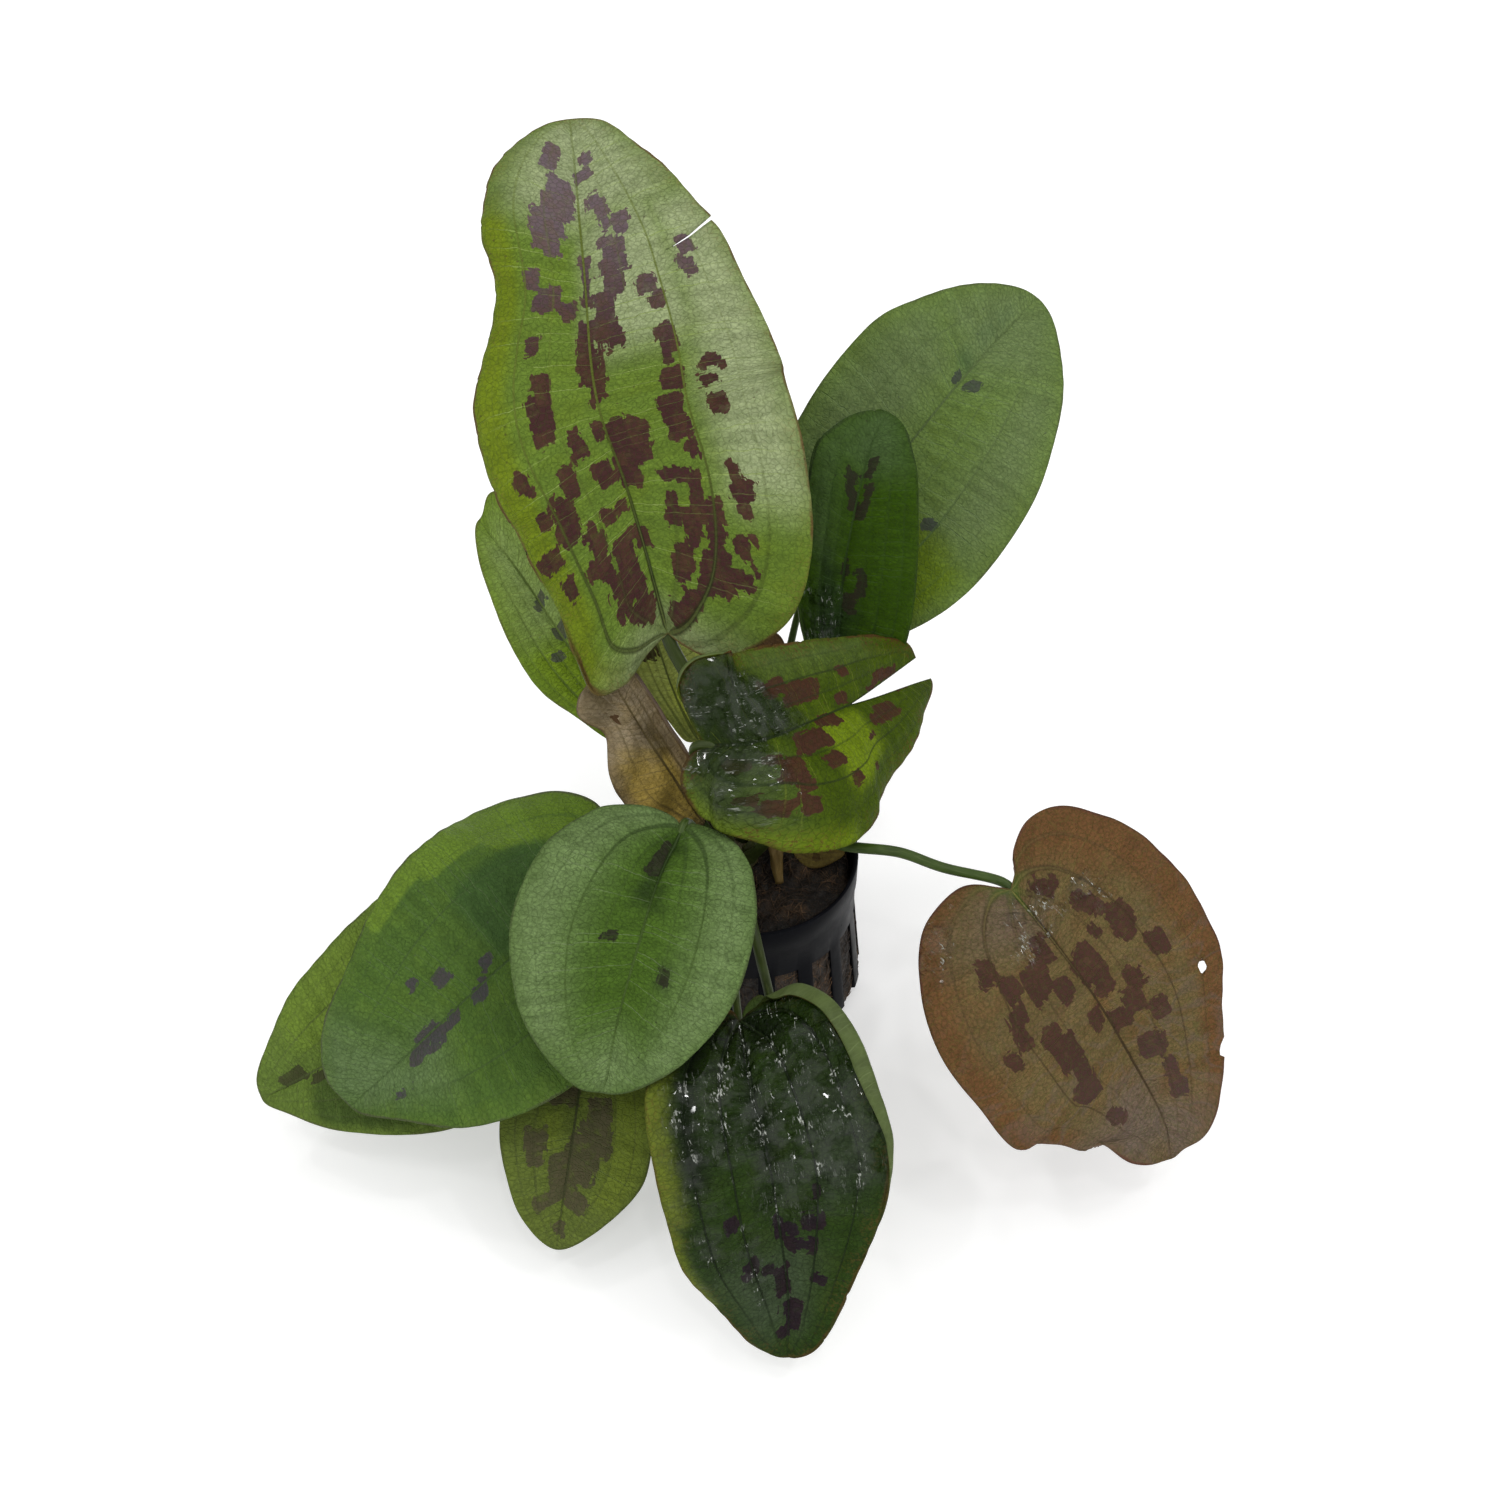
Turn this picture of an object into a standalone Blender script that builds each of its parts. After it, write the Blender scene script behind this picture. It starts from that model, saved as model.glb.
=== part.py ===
# Echinodorus plant growing in a slotted plastic net pot.
# The pot's axis is Z, its base lies on z = 0, and the leaves spread from a crown on the medium.
# Sizes are in millimetres here and become metres where each mesh is made.

import math

import bmesh
import bpy
from mathutils import Matrix, Vector

MM = 0.001

# Net pot: a 54 mm rim is the usual 5 cm aquarium pot
POT_HEIGHT = 47.0
RIM_RADIUS = 27.0
WALL = 1.0
BASE_THICKNESS = 1.4
BASE_RADIUS = 26.8
SLOT_COUNT = 16
SLOT_WIDTH_DEG = 13.2
SLOT_PHASE_DEG = -2.5
SLOT_BOTTOM = 2.6
SLOT_TOP = 29.0
RIB_FLARE = 1.7
FLARE_RISE = 0.9
RIM_BAND_BOTTOM = 38.6
NECK_STEP = 0.6
BAND_STEP = 0.2
EDGE_BEVEL = 0.4
BASE_SLOT_COUNT = 8
BASE_SLOT_INNER = 9.0
BASE_SLOT_OUTER = 21.0
BASE_SLOT_WIDTH = 3.6
BASE_CUT_DEPTH = 4.0

# Growing medium and crown
FIT_GAP = 0.3
MEDIUM_TOP = 40.0
MEDIUM_LUMP = 0.8
MEDIUM_SIDES = 32
MEDIUM_SHOULDER = 1.5
MEDIUM_RINGS = (22.0, 15.0, 9.0)
CHORD_EASE = 0.4
FLARE_EASE = 1.6
CROWN_CENTRE = (-6.0, 2.0)
CROWN_RADIUS = 7.5
CROWN_HEIGHT = 3.7
CROWN_SIDES = 12
CROWN_LEVELS = ((0.0, 1.0), (0.35, 0.92), (0.75, 0.6))

# Leaves and stalks
BLADE_THICKNESS = 0.8
BLADE_ROWS = 9
BLADE_COLUMNS = 8
STALK_POINTS = 11
STALK_SIDES_LEVEL = 1
STALK_LEAD = 4.0
STALK_EASE = 0.1

PIN_LENGTH = 8.0
PIN_SIDES = 10

# Each leaf is flat at first. Its outlines are (along, across) from the stalk's joint to the tip,
# left and right as seen from the joint, and lobes behind the joint have a negative first number.
# The midrib then carries the blade in space, and face is where the upper side looks, joint and tip.
# bend is (fold at the midrib, further bend at the margin, where it starts from 0 to 1), in degrees.
# A slit opens from the margin, a split divides the tip, and holes are (across, along, radius).
LEAVES = {
    "tall_back": dict(
        midrib=[(-20, 23.5, 100), (-28.5, 40.5, 128), (-36.5, 55, 148), (-40, 82, 174),
                (-43.5, 112.5, 186)],
        face=[(0.05, -0.72, 0.7), (0, -0.66, 0.75)],
        left=[(-2.5, 4.5), (-9.5, 13.5), (-9, 22), (4.5, 23.5), (26, 28), (47.5, 31), (59.5, 30),
              (70.5, 26.5), (84, 22), (107, 24), (121, 19), (129.5, 10)],
        right=[(-4, 3), (-9, 9), (-9.5, 17), (-4.5, 29.5), (8.5, 38), (29, 42.5), (62.5, 44.5),
               (89, 36), (102, 29), (120.5, 16), (128.5, 8.5)],
        left_bend=(6, -46, 0.55), right_bend=(6, -10, 0.3),
        slit=dict(side=1, along=0.755, start=0.55, gap=1.6),
        stalk=[(-7, 4.5, 45), (-5, 4.5, 56), (-8, 9, 71), (-12, 15, 85)],
        stalk_radius=(2.0, 1.7), rows=12, columns=10,
        colour=(0.16, 0.27, 0.05)),
    "back_right": dict(
        midrib=[(14.5, 54, 85), (38.5, 72.5, 116), (57, 86, 134), (71.5, 100.5, 142)],
        face=[(-0.15, -0.65, 0.75), (-0.1, -0.6, 0.8)],
        left=[(-3, 2.5), (1, 13), (18, 23.5), (36.5, 26.5), (55, 27), (69.5, 24), (88.5, 12)],
        right=[(-2, 6), (0, 19.5), (8.5, 28), (28, 34.5), (54.5, 33.5), (74.5, 24.5), (88.5, 12.5)],
        left_bend=(5, 0, 0), right_bend=(5, -14, 0.3),
        stalk=[(-1.5, 8, 45), (1, 17, 54), (5, 31, 62), (9.5, 43.5, 73)],
        stalk_radius=(1.3, 0.9), colour=(0.13, 0.25, 0.08)),
    "dark_upright": dict(
        midrib=[(21.5, 36.5, 68), (22.5, 43.5, 92), (25, 49, 114), (29, 54, 132), (33, 58.5, 140)],
        face=[(-0.1, -0.75, 0.6), (-0.1, -0.7, 0.65)],
        left=[(1, 3), (9, 7), (24, 10.5), (45.5, 11.5), (63, 13), (68.5, 10.5), (74, 5.5)],
        right=[(-1, 4), (5, 12), (16.5, 17.5), (38, 18), (61, 14), (73.5, 8)],
        left_bend=(8, -6, 0.3), right_bend=(8, -10, 0.3),
        stalk=[(0.5, 4, 45), (8, 15, 50), (16.5, 27, 56)],
        stalk_radius=(1.3, 1.0), colour=(0.06, 0.13, 0.05)),
    "split_tip": dict(
        midrib=[(-10.5, -6.5, 92), (2.5, -6.5, 94), (24, 12, 87), (43, 32.5, 79)],
        face=[(0, -0.5, 0.85), (0.05, -0.5, 0.85)],
        left=[(-3, 6), (-5.5, 16), (0.5, 21.5), (16.5, 21.5), (34, 19.5), (54.5, 14), (70.5, 6)],
        right=[(-4.5, 2.5), (-6.5, 9), (-2, 17), (8.5, 23.5), (13.5, 29), (23, 31.5), (32, 29),
               (37.5, 23.5), (50.5, 17), (62.5, 8.5)],
        left_bend=(14, -10, 0.3), right_bend=(10, -40, 0.3),
        split=(0.6, 3.2),
        stalk=[(-4.5, 0, 45.5), (-7, -2, 60), (-11, -5, 75)],
        stalk_radius=(1.5, 1.2), rows=11, colour=(0.14, 0.22, 0.03)),
    "back_left": dict(
        midrib=[(-31.5, 36, 50), (-48, 47.5, 76), (-61, 60.5, 90), (-69, 69, 96)],
        face=[(-0.2, -0.62, 0.75), (-0.2, -0.6, 0.78)],
        left=[(1.5, 4), (11, 8), (21.5, 12), (32, 13), (45, 11), (61, 6.5)],
        right=[(-1, 4), (6.5, 16.5), (24, 24), (47, 22), (65, 14.5), (72.5, 7)],
        left_bend=(5, -10, 0.3), right_bend=(5, 0, 0),
        stalk=[(-11, 7.5, 44), (-16, 17, 51.5), (-24, 28, 52)],
        stalk_radius=(1.3, 1.0), colour=(0.14, 0.24, 0.07)),
    "old_brown": dict(
        midrib=[(-11.5, 4.5, 52), (-23.5, 13, 70), (-32.5, 22, 82), (-35.5, 27.5, 84)],
        face=[(0.2, -0.7, 0.7), (0.1, -0.7, 0.7)],
        left=[(2.5, 5.5), (10.5, 12.5), (16, 14.5), (25.5, 12), (33.5, 9.5), (41.5, 11.5), (46.5, 6.5)],
        right=[(3.5, 2.5), (15.5, 6), (24, 6.5), (34, 6.5), (42.5, 6)],
        left_bend=(0, -30, 0.3), right_bend=(0, 20, 0.3),
        stalk=[(-10, 1.2, 45.2)],
        stalk_radius=(1.3, 1.1), colour=(0.2, 0.12, 0.05)),
    "young_yellow": dict(
        midrib=[(-13, 21.5, 64), (-19.5, 30, 74), (-26, 46.5, 86)],
        face=[(0.2, -0.7, 0.65), (0.1, -0.7, 0.65)],
        left=[(2, 3), (9.5, 4.5), (19.5, 7), (30, 7)],
        right=[(0, 1.5), (7.5, 8), (22.5, 10), (34, 6)],
        stalk=[(-8.2, 8.5, 44), (-9, 13, 50)],
        stalk_radius=(1.1, 0.9), rows=7, columns=6, colour=(0.25, 0.3, 0.03)),
    "small_brown": dict(
        midrib=[(-2, 24.5, 68), (1.5, 31, 78), (6.5, 38, 86)],
        face=[(0.05, -0.7, 0.7), (0.05, -0.7, 0.7)],
        left=[(3, 4.5), (10.5, 10.5), (16.5, 7.5)],
        right=[(2.5, 3), (11, 6), (20, 5)],
        stalk=[(-5, 8.8, 44), (-4.5, 14, 51)],
        stalk_radius=(1.0, 0.8), rows=7, columns=6, colour=(0.15, 0.09, 0.04)),
    "rust_right": dict(
        midrib=[(62, -28, 65), (73, -43, 61), (84.5, -55.5, 50), (96.5, -70, 34), (99, -79.5, 28)],
        face=[(0.1, -0.45, 0.9), (0.35, -0.6, 0.8)],
        left=[(-3, 3.5), (-8, 7), (-12, 15), (-9.5, 24.5), (4, 33), (18.5, 35.5), (38.5, 34),
              (56.5, 24), (67, 15), (73, 7)],
        right=[(-2.5, 2.5), (-7.5, 9.5), (-4.5, 22), (5, 31), (22, 39), (41, 38.5), (52.5, 36),
               (57, 26), (74.5, 16), (76, 7)],
        left_bend=(5, -12, 0.3), right_bend=(5, -14, 0.3),
        holes=[(-0.8, 0.62, 1.25), (-0.99, 0.79, 1.0)],
        stalk=[(0.5, 0.5, 44.8), (5.5, -2, 54), (13.5, -8.5, 62), (24, -17, 68), (35.5, -21, 70.5),
               (46, -25, 69.5)],
        stalk_radius=(1.5, 1.2), rows=10, columns=10, colour=(0.2, 0.11, 0.06)),
    "wet_front": dict(
        midrib=[(-2.5, -60.5, 56), (0.5, -78.5, 54), (5, -95.5, 43), (8.5, -112.5, 24),
                (8.5, -123, 12)],
        face=[(0, -0.3, 0.95), (0, -0.6, 0.8)],
        left=[(-2, 3.5), (-4, 8), (-5, 16), (2.5, 23), (16, 27.5), (30, 29), (39.5, 28),
              (54.5, 21), (69.5, 12), (78.5, 6.5)],
        right=[(-3.5, 2), (-2.5, 9), (4, 17.5), (13.5, 23.5), (26.5, 26), (44, 25.5), (60, 22),
               (75.5, 11), (80, 4.5)],
        left_bend=(12, 10, 0.3), right_bend=(10, -25, 0.4),
        stalk=[(-6, -5.2, 44), (-6.5, -16, 53), (-5.5, -31, 57.5), (-4, -46, 57)],
        stalk_radius=(1.3, 1.0), rows=10, colour=(0.05, 0.1, 0.02)),
    "front_left": dict(
        midrib=[(-38.5, -44, 37), (-41, -66, 31.5), (-44, -85, 20), (-45.5, -95.5, 14)],
        face=[(0, -0.4, 0.9), (0, -0.6, 0.8)],
        left=[(-2.5, 3), (4.5, 10), (21.5, 17.5), (35.5, 19), (44, 16), (53.5, 7.5)],
        right=[(-1.5, 3), (7, 10), (20, 16.5), (31, 17.5), (42.5, 14), (51.5, 9)],
        left_bend=(6, -10, 0.3), right_bend=(6, -10, 0.3),
        stalk=[(-9.8, -4.2, 43.2), (-17.5, -18, 51), (-28, -32, 45.5)],
        stalk_radius=(1.2, 1.0), colour=(0.16, 0.23, 0.06)),
    "front_oval": dict(
        midrib=[(-16, -22, 80), (-22, -40.5, 79.5), (-29.5, -65.5, 67), (-33.5, -79.5, 54)],
        face=[(-0.05, -0.4, 0.9), (-0.05, -0.55, 0.8)],
        left=[(-2.5, 2.5), (-1.5, 11), (7.5, 20), (21.5, 25), (40.5, 25), (56, 18), (65.5, 8)],
        right=[(-2.5, 3.5), (-2.5, 11.5), (2, 21), (16.5, 28), (32.5, 30.5), (49, 25.5), (61.5, 16),
               (68, 6.5)],
        left_bend=(7, -14, 0.3), right_bend=(5, -14, 0.3),
        stalk=[(-7.6, -2.6, 45), (-9.5, -7, 55), (-12.5, -12.5, 67)],
        stalk_radius=(1.5, 1.2), colour=(0.13, 0.24, 0.1)),
    "left_middle": dict(
        midrib=[(-36, -12.5, 55), (-45.5, -29, 57), (-61.5, -45.5, 54), (-83, -65, 45),
                (-93.5, -72.5, 39)],
        face=[(-0.2, -0.35, 0.9), (-0.3, -0.5, 0.85)],
        left=[(2, 5.5), (11.5, 17), (22.5, 29), (39, 35), (56, 32.5), (70, 24), (79.5, 12)],
        right=[(-6, 2.5), (-17, 10.5), (-18.5, 22.5), (-9, 33), (8, 43.5), (43.5, 38), (58.5, 30.5),
               (78.5, 20.5), (87, 10.5)],
        left_bend=(5, -10, 0.3), right_bend=(8, -22, 0.4),
        stalk=[(-12.8, 0.2, 43.8), (-19, -3, 50.5), (-26, -6.5, 53)],
        stalk_radius=(1.4, 1.1), colour=(0.08, 0.17, 0.05)),
    "left_low": dict(
        midrib=[(-56.5, -27, 38), (-77.5, -42.5, 37), (-101.5, -53, 30), (-118, -58.5, 23)],
        face=[(-0.2, -0.35, 0.9), (-0.3, -0.5, 0.85)],
        left=[(0.5, 4.5), (8, 19.5), (23.5, 29.5), (36.5, 28.5), (55.5, 18), (67, 7)],
        right=[(-4, 5), (-5.5, 17.5), (3.5, 30), (22, 32.5), (41.5, 27), (57.5, 18.5), (70, 7)],
        left_bend=(5, -10, 0.3), right_bend=(5, -10, 0.3),
        stalk=[(-12.3, -3.4, 43), (-25, -11.5, 50), (-41, -19.5, 42.5)],
        stalk_radius=(1.3, 1.0), colour=(0.16, 0.24, 0.05)),
    "front_low": dict(
        midrib=[(5, -39, 36), (8.5, -58, 30), (12, -78, 17), (13, -91.5, 8)],
        face=[(0.05, -0.3, 0.95), (0.1, -0.6, 0.8)],
        left=[(-0.5, 3), (9, 10.5), (27, 13.5), (45.5, 9.5), (55, 4.5)],
        right=[(-2, 3), (3.5, 8), (21, 12.5), (43, 11), (57, 4.5)],
        stalk=[(-2.2, -4.5, 43.6), (-1, -14, 49.5), (0, -24, 51.5), (2.5, -33, 45)],
        stalk_radius=(1.4, 1.2), rows=7, columns=6, colour=(0.08, 0.14, 0.04)),
}

# Dead pieces lying on the medium: a stub of stalk and a withered scrap of leaf
DEAD_STALK = dict(stalk=[(6.4, 4.5, 43.7), (6.6, 0, 43.2), (7.2, -6.5, 42)], stalk_radius=(1.9, 1.0))
WITHERED_LEAF = dict(
    midrib=[(10.5, 6.5, 41.9), (17, 3, 43.5), (23.5, 0.5, 45.6)],
    face=[(0, -0.5, 0.85), (-0.2, -0.6, 0.8)],
    left=[(3, 2.5), (8, 3.5), (12, 2)],
    right=[(2.5, 3), (7, 4.5), (12, 2.5)],
    left_bend=(4, 0, 0), right_bend=(4, 0, 0),
    rows=6, columns=4, colour=(0.2, 0.14, 0.03))


def clear_scene():
    for thing in list(bpy.data.objects):
        bpy.data.objects.remove(thing, do_unlink=True)


def make_material(name, colour, roughness):
    material = bpy.data.materials.new(name)
    material.use_nodes = True
    shader = material.node_tree.nodes["Principled BSDF"]
    shader.inputs["Base Color"].default_value = (*colour, 1.0)
    shader.inputs["Roughness"].default_value = roughness
    shader.inputs["Metallic"].default_value = 0.0
    return material


def add_object(name, mesh_or_curve, material):
    mesh_or_curve.materials.append(material)
    thing = bpy.data.objects.new(name, mesh_or_curve)
    bpy.context.scene.collection.objects.link(thing)
    return thing


def mesh_from_bmesh(name, bm):
    bmesh.ops.recalc_face_normals(bm, faces=bm.faces)
    bmesh.ops.scale(bm, vec=(MM, MM, MM), verts=bm.verts)
    mesh = bpy.data.meshes.new(name)
    bm.to_mesh(mesh)
    bm.free()
    mesh.shade_smooth()
    mesh.set_sharp_from_angle(angle=math.radians(35))
    return mesh


def smooth_point(points, where):
    """Point on the smooth curve through the given points, where runs from 0 to 1."""
    last = len(points) - 1
    place = min(max(where, 0.0), 1.0) * last
    index = min(int(place), last - 1)
    part = place - index
    here, after = points[index], points[index + 1]
    before = points[index - 1] if index > 0 else here * 2 - after
    beyond = points[index + 2] if index + 2 <= last else after * 2 - here
    return 0.5 * (here * 2 + (after - before) * part
                  + (before * 2 - here * 5 + after * 4 - beyond) * part ** 2
                  + (here * 3 - before - after * 3 + beyond) * part ** 3)


def even_points(points, count, samples=240):
    """The smooth curve through the points, cut into equal lengths, and its whole length."""
    fine = [smooth_point(points, step / samples) for step in range(samples + 1)]
    reach = [0.0]
    for first, second in zip(fine, fine[1:]):
        reach.append(reach[-1] + (second - first).length)
    result = []
    index = 0
    for step in range(count):
        target = reach[-1] * step / (count - 1)
        while index < samples - 1 and reach[index + 1] < target:
            index += 1
        span = reach[index + 1] - reach[index]
        part = (target - reach[index]) / span if span else 0.0
        result.append(fine[index].lerp(fine[index + 1], min(part, 1.0)))
    return result, reach[-1]


def subtract(thing, name, bm):
    """Cut the shape in bm out of the object."""
    cutter = add_object(name, mesh_from_bmesh(name, bm), make_material(name, (0.5, 0.5, 0.5), 0.5))
    cutter.hide_render = True
    cutter.display_type = "WIRE"
    cut = thing.modifiers.new(name, "BOOLEAN")
    cut.operation = "DIFFERENCE"
    cut.solver = "EXACT"
    cut.object = cutter


class Blade:
    """A flat leaf outline carried in space by its midrib."""

    steps = 60

    def __init__(self, values):
        self.values = values
        self.line, self.length = even_points([Vector(point) for point in values["midrib"]], self.steps + 1)
        self.margins = {}
        for side, key in ((-1, "left"), (1, "right")):
            outline = [Vector((0, 0))] + [Vector(point) for point in values[key]] + [Vector((self.length, 0))]
            self.margins[side] = even_points(outline, self.steps * 2 + 1)[0]

    def frame(self, along):
        """Point on the midrib, and the directions along, across and up from the upper side."""
        place = min(max(along / self.length, 0.0), 1.0) * self.steps
        index = min(int(place), self.steps - 1)
        forward = (self.line[index + 1] - self.line[index]).normalized()
        point = self.line[index].lerp(self.line[index + 1], place - index)
        point = point + forward * (along - min(max(along, 0.0), self.length))
        share = place / self.steps
        first, last = (Vector(face) for face in self.values["face"])
        facing = first.lerp(last, share)
        up = (facing - forward * facing.dot(forward)).normalized()
        return point, forward, forward.cross(up), up, share

    def section(self, side, across):
        """How far a blade strip reaches across and up once it is folded and bent."""
        key = "left_bend" if side < 0 else "right_bend"
        fold, bend, start = self.values.get(key, (0, 0, 0))
        parts = 8
        reach = rise = 0.0
        for part in range(parts):
            place = (part + 0.5) / parts * across
            angle = math.radians(fold + bend * max(0.0, (place - start) / (1 - start)))
            reach += math.cos(angle) / parts
            rise += math.sin(angle) / parts
        return reach, rise

    def point(self, across, along, half=0):
        """Point of the blade: across from -1 to 1 and along from 0 at the joint to 1 at the tip."""
        side = half or (-1 if across < 0 else 1)
        width = abs(across)
        margin = self.margins[side]
        place = along * (len(margin) - 1)
        index = min(int(place), len(margin) - 2)
        edge = margin[index].lerp(margin[index + 1], place - index)
        distance = along * self.length + (edge.x - along * self.length) * width
        origin, forward, sideways, up, share = self.frame(distance)
        reach, rise = self.section(side, width)
        offset = edge.y * width
        gap = 0.0
        if "split" in self.values:
            start, opening = self.values["split"]
            gap = opening * max(0.0, (share - start) / (1 - start))
        return origin + sideways * side * (offset * reach + gap) + up * offset * rise


def blade_sheet(values):
    """One layer of leaf, with its slit or split tip already open."""
    blade = Blade(values)
    rows = values.get("rows", BLADE_ROWS)
    columns = values.get("columns", BLADE_COLUMNS)
    slit = values.get("slit")
    split = values.get("split")
    lengths = [row / rows for row in range(rows + 1)]
    if slit:
        nearest = min(range(1, rows), key=lambda row: abs(lengths[row] - slit["along"]))
        lengths[nearest] = slit["along"]
    if split:
        nearest = min(range(1, rows), key=lambda row: abs(lengths[row] - split[0]))
        lengths[nearest] = split[0]
    bm = bmesh.new()
    joint = bm.verts.new(blade.point(0, 0))
    made = {}

    def corner(row, column, half, below):
        """Vertex of the grid, made once, doubled where the leaf is torn."""
        along = lengths[row]
        across = 2 * column / columns - 1
        if row == 0:
            return joint
        torn = split and along > split[0] and (row == rows or column == columns // 2)
        side = half if torn else 0
        open_here = slit and along == slit["along"] and across * slit["side"] > slit["start"]
        edge = below if open_here else 0
        key = (row, 0 if row == rows else column, side, edge)
        if key not in made:
            spot = blade.point(0 if row == rows else across, along, side)
            if open_here:
                share = (abs(across) - slit["start"]) / (1 - slit["start"])
                forward = blade.frame(along * blade.length)[1]
                spot = spot + forward * (0.5 * slit["gap"] * share * edge)
            made[key] = bm.verts.new(spot)
        return made[key]

    for row in range(rows):
        for column in range(columns):
            half = -1 if column < columns // 2 else 1
            ring = [corner(row, column, half, 1), corner(row, column + 1, half, 1),
                    corner(row + 1, column + 1, half, -1), corner(row + 1, column, half, -1)]
            face = list(dict.fromkeys(ring))
            bm.faces.new(face)
    return bm, blade


def make_blade(name, values):
    bm, blade = blade_sheet(values)
    leaf = add_object(name, mesh_from_bmesh(name, bm), make_material(name, values["colour"], 0.45))
    thick = leaf.modifiers.new("thickness", "SOLIDIFY")
    thick.thickness = BLADE_THICKNESS * MM
    thick.offset = 0.0
    return leaf, blade


def make_stalk(name, values, blade=None, colour=(0.05, 0.12, 0.02)):
    """A tapered tube along its route, which ends just under the blade's joint."""
    thick, thin = values["stalk_radius"]
    route = [Vector(point) for point in values["stalk"]]
    if blade:
        joint, forward, _, up, _ = blade.frame(0)
        under = joint - up * (BLADE_THICKNESS / 2 + FIT_GAP + thin + STALK_EASE)
        route += [under - forward * STALK_LEAD, under + forward * thin]
    points, _ = even_points(route, STALK_POINTS)
    curve = bpy.data.curves.new(name, "CURVE")
    curve.dimensions = "3D"
    curve.bevel_depth = MM
    curve.bevel_resolution = STALK_SIDES_LEVEL
    curve.use_fill_caps = True
    spline = curve.splines.new("POLY")
    spline.points.add(STALK_POINTS - 1)
    for index, (target, place) in enumerate(zip(spline.points, points)):
        target.co = (*(place * MM), 1.0)
        target.radius = thick + (thin - thick) * index / (STALK_POINTS - 1)
    add_object(name, curve, make_material(name, colour, 0.4))


def cut_hole(leaf, blade, number, across, along, radius):
    """A short pin through the blade cuts a round opening, or a notch at the margin."""
    name = f"hole_{number}"
    spot = blade.point(across, along)
    ahead = blade.point(across, along + 0.05) - spot
    beside = blade.point(across + 0.1, along) - spot
    axis = ahead.cross(beside).normalized()
    bm = bmesh.new()
    bmesh.ops.create_cone(bm, cap_ends=True, segments=PIN_SIDES, radius1=radius, radius2=radius,
                          depth=PIN_LENGTH)
    turn = Vector((0, 0, 1)).rotation_difference(axis).to_matrix().to_4x4()
    bmesh.ops.transform(bm, matrix=Matrix.Translation(spot) @ turn, verts=bm.verts)
    subtract(leaf, name, bm)


def pot_rows():
    """The pot wall's profile from the foot to the rim: height, outer radius, inner radius."""
    rib_foot = BASE_RADIUS + RIB_FLARE
    neck = RIM_RADIUS - NECK_STEP
    return [
        (0.0, BASE_RADIUS - EDGE_BEVEL, None),
        (EDGE_BEVEL, BASE_RADIUS, None),
        (SLOT_BOTTOM, BASE_RADIUS, BASE_RADIUS - WALL),
        (SLOT_BOTTOM + FLARE_RISE, rib_foot, rib_foot - WALL),
        (SLOT_TOP, neck, neck - WALL),
        (RIM_BAND_BOTTOM - NECK_STEP, neck, neck - WALL),
        (RIM_BAND_BOTTOM, RIM_RADIUS - BAND_STEP, None),
        (POT_HEIGHT - EDGE_BEVEL, RIM_RADIUS, None),
        (POT_HEIGHT, RIM_RADIUS - EDGE_BEVEL, RIM_RADIUS - WALL),
    ]


def pot_angles():
    """Both edges of every slot, in order round the wall, starting at a slot."""
    pitch = 360 / SLOT_COUNT
    angles = []
    for slot in range(SLOT_COUNT):
        middle = SLOT_PHASE_DEG + slot * pitch
        angles += [math.radians(middle - SLOT_WIDTH_DEG / 2), math.radians(middle + SLOT_WIDTH_DEG / 2)]
    return angles


def make_pot():
    bm = bmesh.new()
    angles = pot_angles()
    count = len(angles)
    rows = pot_rows()

    def ring(radius, height):
        return [bm.verts.new((radius * math.cos(angle), radius * math.sin(angle), height)) for angle in angles]

    outer = [ring(radius, height) for height, radius, _ in rows]
    floor_ring = ring(BASE_RADIUS - WALL, BASE_THICKNESS)
    inner = {index: ring(radius, height) for index, (height, _, radius) in enumerate(rows) if radius}
    inner_order = [floor_ring] + [inner[index] for index in sorted(inner)]
    slot_low, slot_high = 2, 4
    for index in range(count):
        after = (index + 1) % count
        is_slot = index % 2 == 0
        for low in range(len(rows) - 1):
            if is_slot and slot_low <= low < slot_high:
                continue
            bm.faces.new([outer[low][index], outer[low][after], outer[low + 1][after], outer[low + 1][index]])
        for low, (below, above) in enumerate(zip(inner_order, inner_order[1:])):
            if is_slot and 1 <= low < 3:
                continue
            bm.faces.new([below[after], below[index], above[index], above[after]])
        bm.faces.new([outer[-1][index], outer[-1][after], inner_order[-1][after], inner_order[-1][index]])
        if is_slot:
            for level in (slot_low, slot_high):
                bm.faces.new([outer[level][index], outer[level][after], inner[level][after], inner[level][index]])
            for edge in (index, after):
                for low in range(slot_low, slot_high):
                    bm.faces.new([outer[low][edge], outer[low + 1][edge], inner[low + 1][edge], inner[low][edge]])
    bm.faces.new(outer[0])
    bm.faces.new(floor_ring)
    mesh = mesh_from_bmesh("net_pot", bm)
    pot = add_object("net_pot", mesh, make_material("net_pot", (0.012, 0.014, 0.018), 0.4))
    cut_base_slots(pot)


def cut_base_slots(pot):
    """Drainage slots like spokes in the base, round a solid middle."""
    bm = bmesh.new()
    for slot in range(BASE_SLOT_COUNT):
        turn = Matrix.Rotation(2 * math.pi * slot / BASE_SLOT_COUNT, 4, "Z")
        middle = Matrix.Translation(((BASE_SLOT_INNER + BASE_SLOT_OUTER) / 2, 0, BASE_THICKNESS / 2))
        size = Matrix.Diagonal((BASE_SLOT_OUTER - BASE_SLOT_INNER, BASE_SLOT_WIDTH, BASE_CUT_DEPTH, 1.0))
        bmesh.ops.create_cube(bm, size=1.0, matrix=turn @ middle @ size)
    subtract(pot, "base_slots", bm)


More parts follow.
